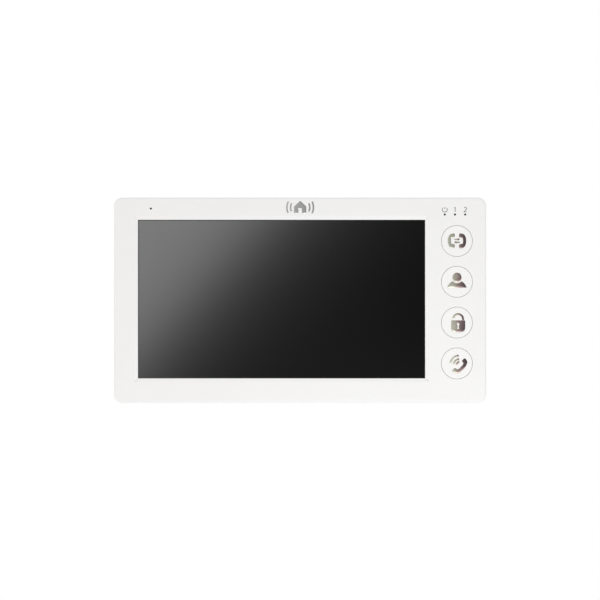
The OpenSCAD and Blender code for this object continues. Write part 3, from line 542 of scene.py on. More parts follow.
def soft_box(name, location, target, size, power, turn=0.0, colour=(1, 1, 1), only=()):
    """A rectangular lamp facing a target, turned round its own axis.

    Given pieces in only, it is a lamp that just those pieces mirror.
    """
    data = bpy.data.lights.new(name, "AREA")
    data.shape = "RECTANGLE"
    data.size, data.size_y = size
    data.energy = power
    data.color = colour
    lamp = bpy.data.objects.new(name, data)
    lamp.location = location
    facing = (Vector(target) - Vector(location)).to_track_quat("-Z", "Y")
    lamp.rotation_euler = (facing @ Quaternion((0, 0, 1), turn)).to_euler()
    lamp.visible_camera = False
    bpy.context.scene.collection.objects.link(lamp)
    if only:
        lit = bpy.data.collections.new(name + "_lit")
        for lit_piece in only:
            lit.objects.link(lit_piece)
        lamp.light_linking.receiver_collection = lit
        lamp.visible_diffuse = False


soft_box("low_fill", (0.15, -0.5, -0.26), (0, 0, -0.02), (0.35, 0.35), 0.8)
soft_box("warm_edge", (-0.25, -0.12, 0), (-0.1, 0, 0), (0.1, 0.2), 0.012, colour=(1, 0.6, 0.35))
print("room light", ROOM_LIGHT)

# %% [markdown]
# ## Floor
# A pale floor lies well below the monitor, which hangs on a wall. It is seen only from above.

# %% Floor
FLOOR_Z = -0.5
FLOOR_HALF = 2.5
LINES = 9
line = np.linspace(-FLOOR_HALF, FLOOR_HALF, LINES)
floor_x, floor_y = np.meshgrid(line, line, indexing="ij")
floor_points = place(floor_x, FLOOR_Z, -floor_y).reshape(-1, 3)
floor_mesh = bpy.data.meshes.new("floor")
floor_mesh.from_pydata(floor_points.tolist(), [], quads(LINES, LINES).tolist())
floor = bpy.data.objects.new("floor", floor_mesh)
bpy.context.scene.collection.objects.link(floor)
floor_mesh.materials.append(plastic("floor_paint", (0.93, 0.93, 0.93), 0.8, 300, 0.1))

# %% [markdown]
# ## Keys
# Each key is a turned cap: a shallow dish for the fingertip, a rounded rim, a wall that passes
# through the cover's hole, a flange that stops it from falling out, and a stem on the switch's
# plunger. A cylinder with a bevel would give the wall but not the rest. A turned part is a profile
# carried round a point, from its front to its back, and so one closed skin.

# %% Key caps
DISH = 0.06 * MM
RIM_SOFT = 0.2 * MM
FLANGE_R = 9.3 * MM
FLANGE_T = 0.95 * MM
FLANGE_GAP = 0.05 * MM
STEM_WALL = 0.3 * MM
cap_low = FACE_BACK - FLANGE_GAP
plunger_low, plunger_high = box("transfer_plunger")
stem_r = (plunger_high[0] - plunger_low[0]) / 2 + STEM_WALL
stem_end = -box("transfer_key")[1][1]


def dish(radius, depth, sink, steps=10):
    """A shallow bowl: depth - sink * (1 - (r / radius)^2)."""
    r = np.linspace(0, radius, steps)
    return r, depth - sink * (1 - (r / radius) ** 2)


key_profile = profile(
    dish(KEY_R - RIM_SOFT, FRONT, DISH),
    fillet(KEY_R - RIM_SOFT, FRONT - RIM_SOFT, RIM_SOFT, 75, 0, 6),
    (KEY_R, cap_low),
    ([FLANGE_R, FLANGE_R], [cap_low, cap_low - FLANGE_T]),
    ([stem_r, stem_r, 0], [cap_low - FLANGE_T, stem_end, stem_end]),
)
for name, z in zip(KEYS, key_z):
    cap = carry(*ring(key_x, z, 128), *key_profile)
    piece(name + "_cap", [cap], name + "_button", key_white, [name + "_key"])

# %% [markdown]
# ## Pictures on the keys
# The pictures are bright metal foil let into the caps. A flat extruded curve would mirror a single
# direction and look printed. So each shape is a band between two outlines, or a stroke along a
# path, that swells from its edges. The height is a dome in both directions, so the top meets the
# flat back all round and the solid is closed.
# Their colour carries a painted reflection as well: light at the left and dark at the right.

# %% Chrome foil
ICON_TOP = middle("view_icon")[2]
ICON_SINK = 0.1 * MM
HALF_PICTURE = 5.2 * MM
HALF_BADGE = 9 * MM
FOIL_ROUGH = 0.22


def foil(name, stops, half_width, middle_x):
    """Metal whose colour, a painted reflection, runs through stops from left to right across a
    width at middle_x.
    """
    material, tree = new_material(name, Metallic=1.0)
    across = add(tree, "SeparateXYZ", coordinates(tree, location=(-middle_x, 0, 0))).outputs["X"]
    share = spread(tree, across, 0, 1, -half_width, half_width)
    drift = spread(tree, noise(tree, GLOSS_SCALE, 2), -0.14, 0.14)
    # painted reflection: the colour runs from light at the left to dark at the right, and noise
    # moves where it turns
    painted_light_tint = ramp(tree, add(tree, "Math", share, drift).outputs[0], stops)
    fine = noise(tree, 2500, 4, (1, 1, 6))
    gloss = spread(tree, fine, FOIL_ROUGH * 0.7, FOIL_ROUGH * 1.4)
    dress(tree, painted_light_tint, gloss, fine, 0.25, 0.006 * MM)
    return material


# Painted reflection on the key pictures: light olive grey at the left to dark mauve brown at the
# right.
icon_foil_painted_reflection = foil("icon_foil_painted_reflection", [
    (0.02, (0.68, 0.7, 0.6)), (0.38, (0.58, 0.57, 0.48)), (0.53, (0.44, 0.35, 0.31)),
    (0.72, (0.26, 0.19, 0.19)), (0.96, (0.1, 0.075, 0.085)),
], HALF_PICTURE, key_x)
# Painted reflection on the badge: lighter at the left, darker at the right.
BADGE_PAINTED_REFLECTION = [(0.1, (0.68, 0.68, 0.67)), (0.9, (0.5, 0.5, 0.51))]
badge_foil_painted_reflection = foil("badge_foil_painted_reflection", BADGE_PAINTED_REFLECTION, HALF_BADGE, 0)

# %% Bands and strokes
SIDE_POWER = 8
END_POWER = 12


def swell(share, power=SIDE_POWER):
    """Dome from 0 at both ends of -1..1 to 1 between: (1 - |t|^power)^(1/2)."""
    return np.sqrt(np.clip(1 - np.abs(share) ** power, 0, 1))


def eased(count):
    """Values from -1 to 1 that crowd towards both ends: sin(pi/2 * t)."""
    return np.sin(np.pi / 2 * np.linspace(-1, 1, count))


def solid(x, z, base, rise, round_rows):
    """A flat back at base and a domed top at base + rise, over the same grid of places."""
    faces = quads(*x.shape, round_rows=round_rows)
    low, high = [place(x, z, depth).reshape(-1, 3) for depth in (base, base + rise)]
    return [(high, faces, True), (low, faces, False)]


def band(inner, outer, base, top, across=9, closed=False):
    """A solid whose point (i, j) is inner[i] + (outer[i] - inner[i]) * (1 + u[j]) / 2."""
    u = eased(across)
    share = (1 + u)[None, :, None] / 2
    flat = inner[:, None, :] * (1 - share) + outer[:, None, :] * share
    rise = np.broadcast_to(swell(u)[None, :], flat.shape[:2]).copy()
    if not closed:
        rise *= swell(np.linspace(-1, 1, len(inner)), END_POWER)[:, None]
    return solid(flat[..., 0], flat[..., 1], base, (top - base) * rise, closed)


def stroke(path, half_width, base, top, across=9):
    """A band that lies half_width to each side of a path, measured across the path's direction."""
    along = np.gradient(path, axis=0)
    along /= np.linalg.norm(along, axis=1, keepdims=True)
    reach = np.broadcast_to(half_width, len(path))[:, None]
    sideways = np.stack([along[:, 1], -along[:, 0]], axis=-1) * reach
    return band(path - sideways, path + sideways, base, top, across)


def arc_path(x, z, radius, start, end, count=33):
    """Points on a circle's arc, angles in degrees."""
    angle = np.radians(np.linspace(start, end, count))
    return np.stack([x + radius * np.cos(angle), z + radius * np.sin(angle)], axis=-1)


def moved(path, x, z, turn=0.0, flip=1.0):
    """Millimetre points mirrored by flip, turned by turn degrees, brought to metres and moved."""
    c, s = np.cos(np.radians(turn)), np.sin(np.radians(turn))
    px, pz = path[:, 0] * flip * MM, path[:, 1] * MM
    return np.stack([x + c * px - s * pz, z + s * px + c * pz], axis=-1)


def polyline(corners, step):
    """Points along straight lines through corners, about one step apart."""
    corners = np.asarray(corners, float)
    length = np.linalg.norm(np.diff(corners, axis=0), axis=1)
    distance = np.concatenate([[0], np.cumsum(length)])
    at = lines(distance, step)
    return np.stack([np.interp(at, distance, corners[:, axis]) for axis in (0, 1)], axis=-1)


def resample(path, share):
    """Points at shares of a path's length."""
    step = np.linalg.norm(np.diff(path, axis=0), axis=1)
    distance = np.concatenate([[0], np.cumsum(step)]) / step.sum()
    return np.stack([np.interp(share, distance, path[:, axis]) for axis in (0, 1)], axis=-1)


# %% Two handsets and two arrows
BOW_POWER = 3.2
EAR_LENGTH = 3.2
EAR_EASE = 1.4
END_ROUND = 0.8
END_BLUNT = 0.4


def handset(height, width, thick, ear, count=81):
    """Centre line and half widths of a handset that bulges left and whose ears end at x = 0.

    The line is the left half of |x / a|^n + |z / b|^n = 1. Its half width eases from the bow's to
    the ear's as 3s^2 - 2s^3 near an end, which is itself rounded by (1 - (1 - s)^3)^(1/3).
    """
    angle = np.linspace(-np.pi / 2, np.pi / 2, 400)
    power = 2 / BOW_POWER
    x = -(width - thick / 2) * np.abs(np.cos(angle)) ** power
    z = (height - ear) / 2 * np.sign(np.sin(angle)) * np.abs(np.sin(angle)) ** power
    share = np.linspace(0, 1, count)
    line = np.stack([x, z], axis=-1)
    length = np.linalg.norm(np.diff(line, axis=0), axis=1).sum()
    from_end = length * np.minimum(share, 1 - share)
    s = np.clip((EAR_LENGTH - from_end) / EAR_EASE, 0, 1)
    half = thick / 2 + (ear - thick) / 2 * (3 * s**2 - 2 * s**3)
    end = np.clip(from_end / END_ROUND, 0, 1)
    return resample(line, share), half * np.maximum((1 - (1 - end) ** 3) ** (1 / 3), END_BLUNT)


def arrow(length, height):
    """Lower and upper outline of an arrow that points right."""
    x = np.array([-0.5, -0.2, 0.125, 0.1251, 0.3, 0.5]) * length
    half = np.array([1.3, 1.3, 1.3, 3, 1.7, 0.02]) * height / 6
    return np.stack([x, -half], axis=-1), np.stack([x, half], axis=-1)


HANDSET_OUT = 1.1
ARROW_UP = 0.8 * MM
base, top = FRONT - ICON_SINK, ICON_TOP
patches = []
for flip in (1, -1):
    path, half = handset(height=8.2, width=3.9, thick=1.75, ear=2.4)
    path = moved(path - [HANDSET_OUT, 0], key_x, key_z[0], flip=flip)
    patches += stroke(path, half * MM, base, top)
    at = key_z[0] + flip * ARROW_UP
    lower, upper = [moved(edge, key_x, at, flip=flip) for edge in arrow(length=3.4, height=1.6)]
    patches += band(lower, upper, base, top)
piece("transfer_picture", patches, "transfer_button", icon_foil_painted_reflection, ["transfer_icon"])

# %% A person's head and shoulders


def disc(x, z, half_x, half_z, base, top, count=48, rings=8):
    """A domed ellipse: radius share r runs over sin(pi/2 * t), the height over swell(r)."""
    angle = np.linspace(0, 2 * np.pi, count, endpoint=False)[:, None]
    r = np.sin(np.pi / 2 * np.linspace(0, 1, rings))[None, :]
    px, pz = x + half_x * r * np.cos(angle), z + half_z * r * np.sin(angle)
    return solid(px, pz, base, (top - base) * swell(r), True)


HEAD_R = 2.55
HEAD_Z = 2.35
NECK_GAP = 0.6
SHOULDER_HALF = 5.2
SHOULDER_R = 5.3
SHOULDER_Z = -4.35
FOOT_Z = -3.25
across = SHOULDER_HALF * eased(61)
foot = np.full_like(across, FOOT_Z)
arch = SHOULDER_Z + np.sqrt(np.clip(SHOULDER_R**2 - across**2, 0, None))
collar = HEAD_Z - np.sqrt(np.clip((HEAD_R + NECK_GAP) ** 2 - across**2, 0, None))
neck = np.where(np.abs(across) < HEAD_R + NECK_GAP, collar, arch)
shoulder = np.maximum(np.minimum(arch, neck), foot + 0.02)
edges = [moved(np.stack([across, z], axis=-1), key_x, key_z[1]) for z in (foot, shoulder)]
patches = disc(key_x, key_z[1] + HEAD_Z * MM, HEAD_R * MM, (HEAD_R + 0.1) * MM, base, top)
patches += band(*edges, base, top)
piece("view_picture", patches, "view_button", icon_foil_painted_reflection, ["view_icon"])

# %% An open padlock


def by_angle(outline, centre, angle):
    """Resamples a closed outline, seen from a centre, at the given angles."""
    rel = outline - centre
    theta = np.arctan2(rel[:, 1], rel[:, 0])
    order = np.argsort(theta)
    reach = np.interp(angle, theta[order], np.linalg.norm(rel, axis=1)[order], period=2 * np.pi)
    return centre + np.stack([np.cos(angle), np.sin(angle)], axis=-1) * reach[:, None]


def round_rectangle(half_w, top, foot, r_top, r_foot):
    """Outline with its own corner radius at the top and at the foot."""
    corners = [
        arc_path(half_w - r_top, top - r_top, r_top, 0, 90, 12),
        arc_path(r_top - half_w, top - r_top, r_top, 90, 180, 12),
        arc_path(r_foot - half_w, foot + r_foot, r_foot, 180, 270, 16),
        arc_path(half_w - r_foot, foot + r_foot, r_foot, 270, 360, 16),
    ]
    outline = np.concatenate(corners)
    return polyline(np.concatenate([outline, outline[:1]]), 0.15)[:-1]


LOCK_EYE = np.array([0.0, -1.6])
LOCK_X = key_x + 0.65 * MM
BOW_HALF = 0.57 * MM
keyhole_turn = np.linspace(-np.pi, np.pi, 160, endpoint=False)
keyhole = polyline(np.concatenate([
    arc_path(0, -1.05, 0.65, -68, 248, 41),
    [[-0.5, -3.55], [0.5, -3.55]],
    arc_path(0, -1.05, 0.65, -68, -67, 2)[:1],
]), 0.06)[:-1]
lock_body = round_rectangle(half_w=3.85, top=1.2, foot=-5.2, r_top=0.5, r_foot=2.1)
edges = [
    moved(by_angle(outline, LOCK_EYE, keyhole_turn), LOCK_X, key_z[2])
    for outline in (keyhole, lock_body)
]
patches = band(*edges, base, top, 13, closed=True)
bow_end = polyline([[2.65, 1.85], [2.65, 0.9]], 0.2)
bow = np.concatenate([arc_path(0, 1.9, 2.65, 184, 0, 41), bow_end])
patches += stroke(moved(bow, LOCK_X, key_z[2]), BOW_HALF, base, top)
piece("unlock_picture", patches, "unlock_button", icon_foil_painted_reflection, ["unlock_icon"])

# %% A handset with sound waves
WAVE_RADII = (1.6, 3.15, 5.1)
WAVE_HALF = 0.58 * MM
path, half = handset(height=10, width=3.9, thick=1.85, ear=2.5)
path = moved(path, key_x + 0.65 * MM, key_z[3] - 0.45 * MM, turn=135)
patches = stroke(path, half * MM, base, top)
for radius in WAVE_RADII:
    wave = moved(arc_path(1.5, -0.9, radius, 95, 175), key_x, key_z[3])
    patches += stroke(wave, WAVE_HALF, base, top)
piece("talk_picture", patches, "talk_button", icon_foil_painted_reflection, ["talk_icon"])

# %% [markdown]
# ## Badge and signs
# Above the screen sits a small metal badge, a house with sound waves. The three signs by the lamps
# are printed: power, 1 and 2. Ink is hardly raised, but each stroke of it is still a closed solid.

# %% Badge
_, badge_z, badge_top = middle("front_badge")
badge_base = FRONT - 0.1 * MM
badge_z -= 0.2 * MM
DOOR = [[-0.9, -3.4], [-0.9, -0.8], [0, -0.8], [0.9, -0.8], [0.9, -3.4]]
HOUSE = [[-3.4, -3.4], [-3.4, 0.6], [0, 3.8], [3.4, 0.6], [3.4, -3.4]]
along = np.linspace(0, 1, 81)
edges = [moved(resample(polyline(line, 0.1), along), 0, badge_z) for line in (DOOR, HOUSE)]
patches = band(*edges, badge_base, badge_top, 13)
for turn in (0, 180):
    for radius in (5.2, 7.2):
        wave = moved(arc_path(0, 0, radius, turn - 28, turn + 28), 0, badge_z)
        patches += stroke(wave, 0.45 * MM, badge_base, badge_top)
piece("badge", patches, "monitor", badge_foil_painted_reflection, ["front_badge"])

# %% Signs
sign_ink = plastic("sign_ink", (0.17, 0.17, 0.17), 0.6, 4000, 0.005, 0.1)
SIGN_UP = 2.65 * MM
SIGN_HALF = 0.24 * MM
sign_base, sign_top = FRONT - 0.05 * MM, FRONT + 0.02 * MM
one = polyline([[-0.5, 0.75], [0.1, 1.35], [0.1, -1.35]], 0.15)
two = np.concatenate([
    arc_path(0, 0.6, 0.72, 165, -30, 15),
    polyline([[0.2, -0.35], [-0.75, -1.2], [0.85, -1.2]], 0.15),
])
power = [arc_path(0, 0, 1.35, 125, 415, 49), polyline([[0, 0.3], [0, 1.55]], 0.2)]
patches = []
for x, strokes in zip(lamp_x, (power, [one], [two])):
    for path in strokes:
        patches += stroke(moved(path, x, lamp_z + SIGN_UP), SIGN_HALF, sign_base, sign_top, 5)
piece("printed_signs", patches, "monitor", sign_ink, ["lamp_signs"])

# %% [markdown]
# ## Screen window
# The window is dark acrylic with a matt skin that blurs reflections, and a black border printed on
# its back. It is a plate whose front edge is rounded over, worked out from the distance to the
# nearest edge. A large soft box to the upper left hangs in front of it and shows in that skin as a
# wide glow. Only the window mirrors that lamp, so the white cover stays evenly lit.

# %% Plates


def slab(low, high, soft, steps=6):
    """A plate whose front edge is an arc: depth = front - soft * (1 - sqrt(1 - (1 - e)^2)).

    e is the distance to the nearest edge divided by soft, and at most 1.
    """
    rim = soft * (1 - np.cos(np.pi / 2 * np.linspace(0, 1, steps)))
    x = np.concatenate([low[0] + rim, high[0] - rim[::-1]])
    z = np.concatenate([low[2] + rim, high[2] - rim[::-1]])
    x, z = np.meshgrid(x, z, indexing="ij")
    edge = np.minimum(np.minimum(x - low[0], high[0] - x), np.minimum(z - low[2], high[2] - z))
    e = np.clip(edge / soft, 0, 1)
    front = -low[1] - soft * (1 - np.sqrt(np.clip(1 - (1 - e) ** 2, 0, 1)))
    faces = quads(*x.shape)
    index = np.arange(x.size).reshape(x.shape)
    border = np.concatenate([index[:-1, 0], index[-1, :-1], index[:0:-1, -1], index[0, :0:-1]])
    top = place(x, z, front).reshape(-1, 3)
    bottom = place(x, z, -high[1]).reshape(-1, 3)
    side = np.stack([top[border], bottom[border]], axis=1).reshape(-1, 3)
    side_faces = quads(len(border), 2, round_rows=True)
    return [(top, faces, True), (bottom, faces, False), (side, side_faces, False)]


def near_edge(tree, cell, width):
    """1 within a width of a rectangle's edge, 0 further inside, from Object coordinates."""
    centre = (-(cell[0] + cell[1]) / 2, 0, -(cell[2] + cell[3]) / 2)
    parts = add(tree, "SeparateXYZ", coordinates(tree, location=centre))
    reach = []
    for axis, half in (("X", (cell[1] - cell[0]) / 2), ("Z", (cell[3] - cell[2]) / 2)):
        size = add(tree, "Math", parts.outputs[axis], operation="ABSOLUTE").outputs[0]
        reach.append(spread(tree, size, 0, 1, half - width * 1.1, half - width))
    return add(tree, "Math", *reach, operation="MAXIMUM").outputs[0]


# %% Window
BORDER_W = 0.45 * MM
WINDOW_SOFT = 0.25 * MM
MATT_SKIN = 0.307
BORDER_ROUGH = 0.6
WINDOW_BLACK = (0.0004, 0.0004, 0.0004)
BORDER_BLACK = (0.0003, 0.0003, 0.0003)
half_w, half_h = screen_w / 2, screen_h / 2
opening = (screen_x - half_w, screen_x + half_w, screen_z - half_h, screen_z + half_h)
window_black, tree = new_material("window_black", Specular_IOR_Level=0.054)
border = near_edge(tree, opening, BORDER_W)
black = ramp(tree, border, [(0.2, WINDOW_BLACK), (0.8, BORDER_BLACK)])
gloss = spread(tree, border, MATT_SKIN, BORDER_ROUGH)
dress(tree, black, gloss, noise(tree, 5000, 2), 0.15, 0.002 * MM)
plate = slab(*box("screen_window"), WINDOW_SOFT)
window = piece("window_plate", plate, "monitor", window_black, ["screen_window"])

# %% The glow in the window
GLOW_SIDE = 0.597
GLOW_EDGE = 0.067
GLOW_AWAY = 0.217
GLOW_POWER = 54
GLOW_TURN = np.radians(37.5)
glow_out = GLOW_EDGE + GLOW_SIDE / 2
glow_x, glow_z = -glow_out * np.cos(GLOW_TURN), glow_out * np.sin(GLOW_TURN)
soft_box("screen_glow", (glow_x, -FRONT - GLOW_AWAY, glow_z), (glow_x, 0, glow_z),
         (GLOW_SIDE, GLOW_SIDE), GLOW_POWER, turn=-GLOW_TURN, only=[window])

# %% [markdown]
# ## Rear cover and wall bracket
# Their shapes are right in the CAD model, but moulded and stamped parts have no knife edges. A
# copy of the mesh is merged into clean flat faces, and a small bevel rounds each edge so that it
# catches light.

# %% Softened copies


def softened(name, node, width, body, material):
    """A merged copy of a CAD node with rounded edges."""
    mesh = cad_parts[node].data.copy()
    mesh.materials.clear()
    work = bmesh.new()
    work.from_mesh(mesh)
    bmesh.ops.remove_doubles(work, verts=work.verts, dist=1e-6)
    bmesh.ops.dissolve_limit(work, angle_limit=0.01, verts=work.verts, edges=work.edges)
    work.to_mesh(mesh)
    work.free()
    mesh.name = name
    mesh.polygons.foreach_set("use_smooth", np.ones(len(mesh.polygons), bool))
    mesh.set_sharp_from_angle(angle=np.radians(30))
    mesh.materials.append(material)
    made = bpy.data.objects.new(name, mesh)
    bpy.context.scene.collection.objects.link(made)
    rounding = made.modifiers.new("rounded_edges", "BEVEL")
    rounding.width = width
    rounding.segments = 2
    rounding.limit_method = "ANGLE"
    rounding.angle_limit = np.radians(40)
    evening = made.modifiers.new("even_shading", "WEIGHTED_NORMAL")
    evening.keep_sharp = True
    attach(made, body)
    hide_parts(node)
    print(name, len(mesh.polygons), "faces before its bevel")


softened("rear_shell", "rear_cover", 0.2 * MM, "monitor", rear_white)

# %% Galvanised bracket
zinc_plate, tree = new_material("zinc_plate", Metallic=1.0)
spangle = add(tree, "TexVoronoi", coordinates(tree), Scale=220)
grey = add(tree, "SeparateColor", spangle.outputs["Color"])
ZINC = [(0.1, (0.62, 0.64, 0.66)), (0.5, (0.72, 0.73, 0.75)), (0.9, (0.8, 0.81, 0.82))]
gloss = spread(tree, grey.outputs[1], 0.32, 0.55)
dress(tree, ramp(tree, grey.outputs[0], ZINC), gloss, noise(tree, 1500, 4), 0.3, 0.02 * MM)
softened("bracket_plate", "wall_bracket", 0.15 * MM, "bracket", zinc_plate)

# %% [markdown]
# ## Thumbwheels and switch
# Three wheels stand out of the left side, where a thumb turns them. Their rims are knurled. Teeth
# could be set round a cylinder, but one formula does it: the radius falls and rises with the
# angle, fully at the rim and not at all on the faces.

# %% Thumbwheels
WHEEL_TEETH = 36
WHEEL_T = 2.4 * MM
SHAFT_R = 1.5 * MM
wheel_white = plastic("wheel_white", (0.82, 0.82, 0.8), 0.45, 1500, 0.02, 0.03)


def thumbwheel(node, soft=0.35 * MM, knurl=0.3 * MM):
    """Radius = profile - knurl * share * (1 - cos(teeth * angle)) / 2, share 1 on the rim."""
    low, high = box(node)
    x, z, front = middle(node)
    radius = (high[0] - low[0]) / 2
    back = -high[1]
    face = back + WHEEL_T
    angle = np.linspace(0, 2 * np.pi, WHEEL_TEETH * 8, endpoint=False)[:, None]
    offsets, depths = profile(
        ([0, radius / 2, radius - soft], [back] * 3),
        fillet(radius - soft, back + soft, soft, -75, 0, 4),
        fillet(radius - soft, face - soft, soft, 0, 90, 4),
        ([SHAFT_R, SHAFT_R, 0], [face, front, front]),
    )
    share = np.clip((offsets - (radius - soft)) / soft, 0, 1)
    reach = offsets - knurl * share * (1 - np.cos(WHEEL_TEETH * angle)) / 2
    grid = place(x + reach * np.cos(angle), z + reach * np.sin(angle), depths)
    return grid.reshape(-1, 3), quads(len(angle), len(offsets), round_rows=True), True


for name in ("volume", "brightness", "colour"):
    wheel = [thumbwheel(name + "_wheel")]
    piece(name + "_knurl", wheel, name + "_control", wheel_white, [name + "_wheel"])

# %% Power switch knob
knob_black = plastic("knob_black", (0.03, 0.03, 0.032), 0.5, 2500, 0.02, 0.1)


def soft_block(low, high, soft, turns=64, rows=24):
    """A rounded block: (half size - soft) * sign(direction) + soft * direction, all round."""
    centre, half = (low + high) / 2, (high - low) / 2 - soft
    polar = np.linspace(0, np.pi, rows)[None, :]
    angle = (np.arange(turns) + 0.5)[:, None] * 2 * np.pi / turns
    parts = (-np.cos(polar), np.sin(polar) * np.cos(angle), np.sin(polar) * np.sin(angle))
    d = np.stack(np.broadcast_arrays(*parts), axis=-1)
    body = (centre + half * np.sign(np.round(d, 9)) + soft * d)[:, 1:-1]
    left, right = [np.tile(centre + [s * (half[0] + soft), 0, 0], (turns, 1, 1)) for s in (-1, 1)]
    ends = ((body[:, :1], left), (body[:, -1:], right))
    rims = [row * [0, 1, 1] + end * [1, 0, 0] for row, end in ends]
    grid = np.concatenate([left, rims[0], body, rims[1], right], axis=1)
    return grid.reshape(-1, 3), quads(turns, grid.shape[1], round_rows=True), True


knob = soft_block(*box("power_switch_knob"), 0.25 * MM)
piece("slide_knob", [knob], "power_control", knob_black, ["power_switch_knob"])

# %% [markdown]
# ## Screws
# Four screws hold the covers together. Their heads have a cross recess. A boolean could cut it,
# but the head's face is already a grid of angle and radius, so it is pushed in near either axis.

# %% Case screws
screw_zinc = metal("screw_zinc", (0.78, 0.79, 0.8), 0.3, (1, 1, 1), 900, 0.01, 0.15)
HEAD_HEIGHT = 1.5 * MM
HEAD_SOFT = 0.3 * MM
HEAD_RINGS = 18
SLOT_HALF = 0.42 * MM
SLOT_SLOPE = 0.14 * MM
SLOT_END = 1.55 * MM
SLOT_END_SLOPE = 0.3 * MM
SLOT_DEPTH = 0.9 * MM
THREAD_R = 1.3 * MM
THREAD_DEPTH = 0.25 * MM
HALF_PITCH = 0.4 * MM


def cross_screw(x, z, outer, tip, turns=96):
    """A turned screw whose face goes in by depth * near(axis) * near(middle), both linear."""
    face_r = np.linspace(0, HEAD_DISC - HEAD_SOFT, HEAD_RINGS)
    edge_r, edge_d = fillet(HEAD_DISC - HEAD_SOFT, outer + HEAD_SOFT, HEAD_SOFT, -80, 0, 4)
    neck = outer + HEAD_HEIGHT
    down = np.arange(neck + HALF_PITCH, tip - 2 * HALF_PITCH, HALF_PITCH)
    thread = THREAD_R - THREAD_DEPTH * (np.arange(len(down)) % 2)
    point_r, point_d = [THREAD_R * 0.6, 0], [tip - HALF_PITCH, tip]
    offsets = np.concatenate([face_r, edge_r, [HEAD_DISC, THREAD_R], thread, point_r])
    depths = np.concatenate([np.full(HEAD_RINGS, outer), edge_d, [neck, neck], down, point_d])
    angle = np.linspace(0, 2 * np.pi, turns, endpoint=False)[:, None]
    px, pz = offsets * np.cos(angle), offsets * np.sin(angle)
    axis = np.minimum(np.abs(px), np.abs(pz))
    near_axis = np.clip((SLOT_HALF - axis) / SLOT_SLOPE, 0, 1)
    near_middle = np.clip((SLOT_END - offsets) / SLOT_END_SLOPE, 0, 1)
    is_face = np.arange(len(offsets)) < HEAD_RINGS
    grid = place(x + px, z + pz, depths + SLOT_DEPTH * near_axis * near_middle * is_face)
    return grid.reshape(-1, 3), quads(turns, len(offsets), round_rows=True), True


head, tip = -screws_high[1], -screws_low[1]
patches = [cross_screw(x, z, head, tip) for x, z in screw_places]
piece("rear_screws", patches, "monitor", screw_zinc, ["case_screws"])

# %% [markdown]
# ## Finishes of the parts inside
# These parts keep their CAD shape. Most are seen only through vents, sockets and the bay, but each
# gets the finish that such a part has.

# %% Circuit board
board_green, tree = new_material("board_green", Coat_Weight=0.4, Coat_Roughness=0.15)
turned_flat = coordinates(tree, rotation=(np.pi / 2, 0, np.pi / 4))
MASK, MASK_2, TRACK = (0.01, 0.1, 0.045, 1), (0.012, 0.12, 0.05, 1), (0.02, 0.2, 0.08, 1)
tracks = add(tree, "TexBrick", turned_flat, MASK, MASK_2, TRACK, 160, 0.06)
gloss = spread(tree, noise(tree, 900), 0.25, 0.4)
dress(tree, tracks.outputs["Color"], gloss, tracks.outputs["Fac"], 0.4, 0.03 * MM)

# %% Foam, ribbon and winding


def foam(name, colour, cell=1600):
    """Open foam: small pits between round cells, with painted shade that darkens each pit."""
    material, tree = new_material(name, Specular_IOR_Level=0.2)
    pits = add(tree, "TexVoronoi", coordinates(tree), Scale=cell).outputs["Distance"]
    # painted shade: the colour is darkest where the bump sinks into a pit
    painted_light_tint = ramp(tree, pits, [(0.1, colour), (0.7, [c * 1.8 for c in colour])])
    dress(tree, painted_light_tint, spread(tree, pits, 0.8, 1.0), pits, 0.8, 0.15 * MM)
    return material


WAVE_SCALE = 314


def striped(name, low, high, axis, per_mm, rough, metallic=0.0):
    """Bands along one axis: printed tracks on a film, or turns of wire on a coil."""
    material, tree = new_material(name, Metallic=metallic)
    wave = add(tree, "TexWave", coordinates(tree), Scale=per_mm * WAVE_SCALE, Distortion=0.4)
    wave.bands_direction = axis
    bands = wave.outputs["Fac"]
    gloss = spread(tree, noise(tree, 500), rough * 0.8, rough * 1.3)
    dress(tree, ramp(tree, bands, [(0.35, low), (0.65, high)]), gloss, bands, 0.5, 0.02 * MM)
    return material


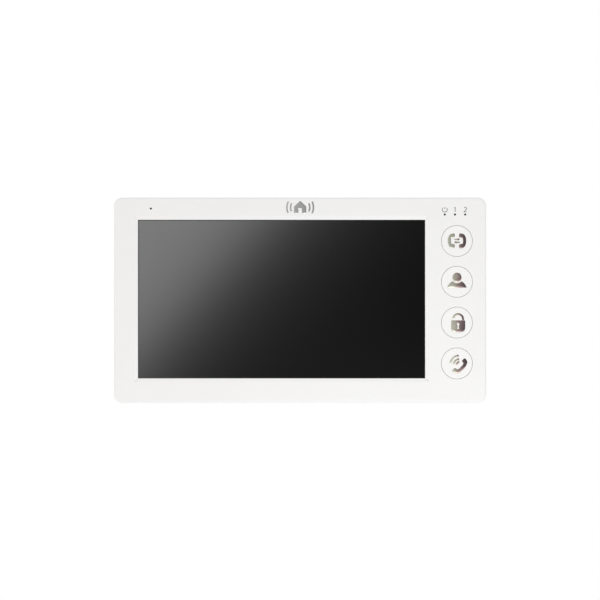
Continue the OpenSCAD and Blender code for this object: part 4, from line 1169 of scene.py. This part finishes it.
# %% Give each node its finish
SOOT = (0.012, 0.012, 0.013)
AMBER = (0.5, 0.2, 0.03), (0.72, 0.36, 0.08)
COPPER = (0.45, 0.2, 0.1), (0.85, 0.42, 0.24)
finishes = {
    plastic("tape_black", SOOT, 0.85, 1500, 0.03, 0.3): ["window_tape"],
    foam("foam_black", SOOT): ["screen_foam", "mic_boot", "speaker_foam"],
    plastic("cell_glass", (0.02, 0.024, 0.03), 0.12, 200, 0.002, 0.1): ["display_cell"],
    metal("sheet_steel", (0.7, 0.71, 0.73), 0.35, (1, 1, 8), 500, 0.02):
        ["display_frame", "display_clips", "power_switch_body"],
    plastic("diffuser_white", (0.88, 0.88, 0.9), 0.6, 700, 0.01): ["backlight"],
    board_green: ["main_board", "key_board"],
    plastic("chip_black", (0.022, 0.022, 0.024), 0.5, 5000, 0.03, 0.15):
        ["board_chips", "switch_bodies", "control_bodies"],
    metal("can_aluminium", (0.82, 0.82, 0.83), 0.28, (1, 6, 1), 700, 0.01): ["capacitors"],
    striped("coil_copper", *COPPER, "Y", 3, 0.3, 1.0): ["power_coil"],
    plastic("socket_ivory", (0.82, 0.76, 0.62), 0.42, 1800, 0.02, 0.03):
        ["station_sockets", "power_socket"],
    striped("ribbon_amber", *AMBER, "X", 1, 0.25): ["display_ribbon", "key_ribbon"],
    screw_zinc: ["clip_screws", "board_screws", "key_board_screws", "speaker_screws"],
    plastic("lamp_lens", (0.78, 0.78, 0.7), 0.15, 300, 0.002, 0.05): ["status_lamps"],
    plastic("guide_smoke", (0.008, 0.008, 0.01), 0.2, 400, 0.002, 0.1): ["light_guide"],
    foam("mic_felt", (0.01, 0.01, 0.01), 4000): ["microphone"],
    plastic("lead_red", (0.5, 0.02, 0.02), 0.45, 2500, 0.02, 0.2): ["mic_lead", "speaker_lead"],
    plastic("cone_black", (0.02, 0.02, 0.022), 0.9, 1800, 0.12, 0.4): ["speaker"],
    plastic("label_foil", (0.66, 0.67, 0.68), 0.4, 1200, 0.01, 0.04): ["blank_label"],
    plastic("plunger_ivory", (0.86, 0.83, 0.74), 0.5): [name + "_plunger" for name in KEYS],
}
for finish, nodes in finishes.items():
    for node in nodes:
        for cover_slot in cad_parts[node].material_slots:
            cover_slot.material = finish
print(sum(len(nodes) for nodes in finishes.values()), "nodes keep their CAD shape")
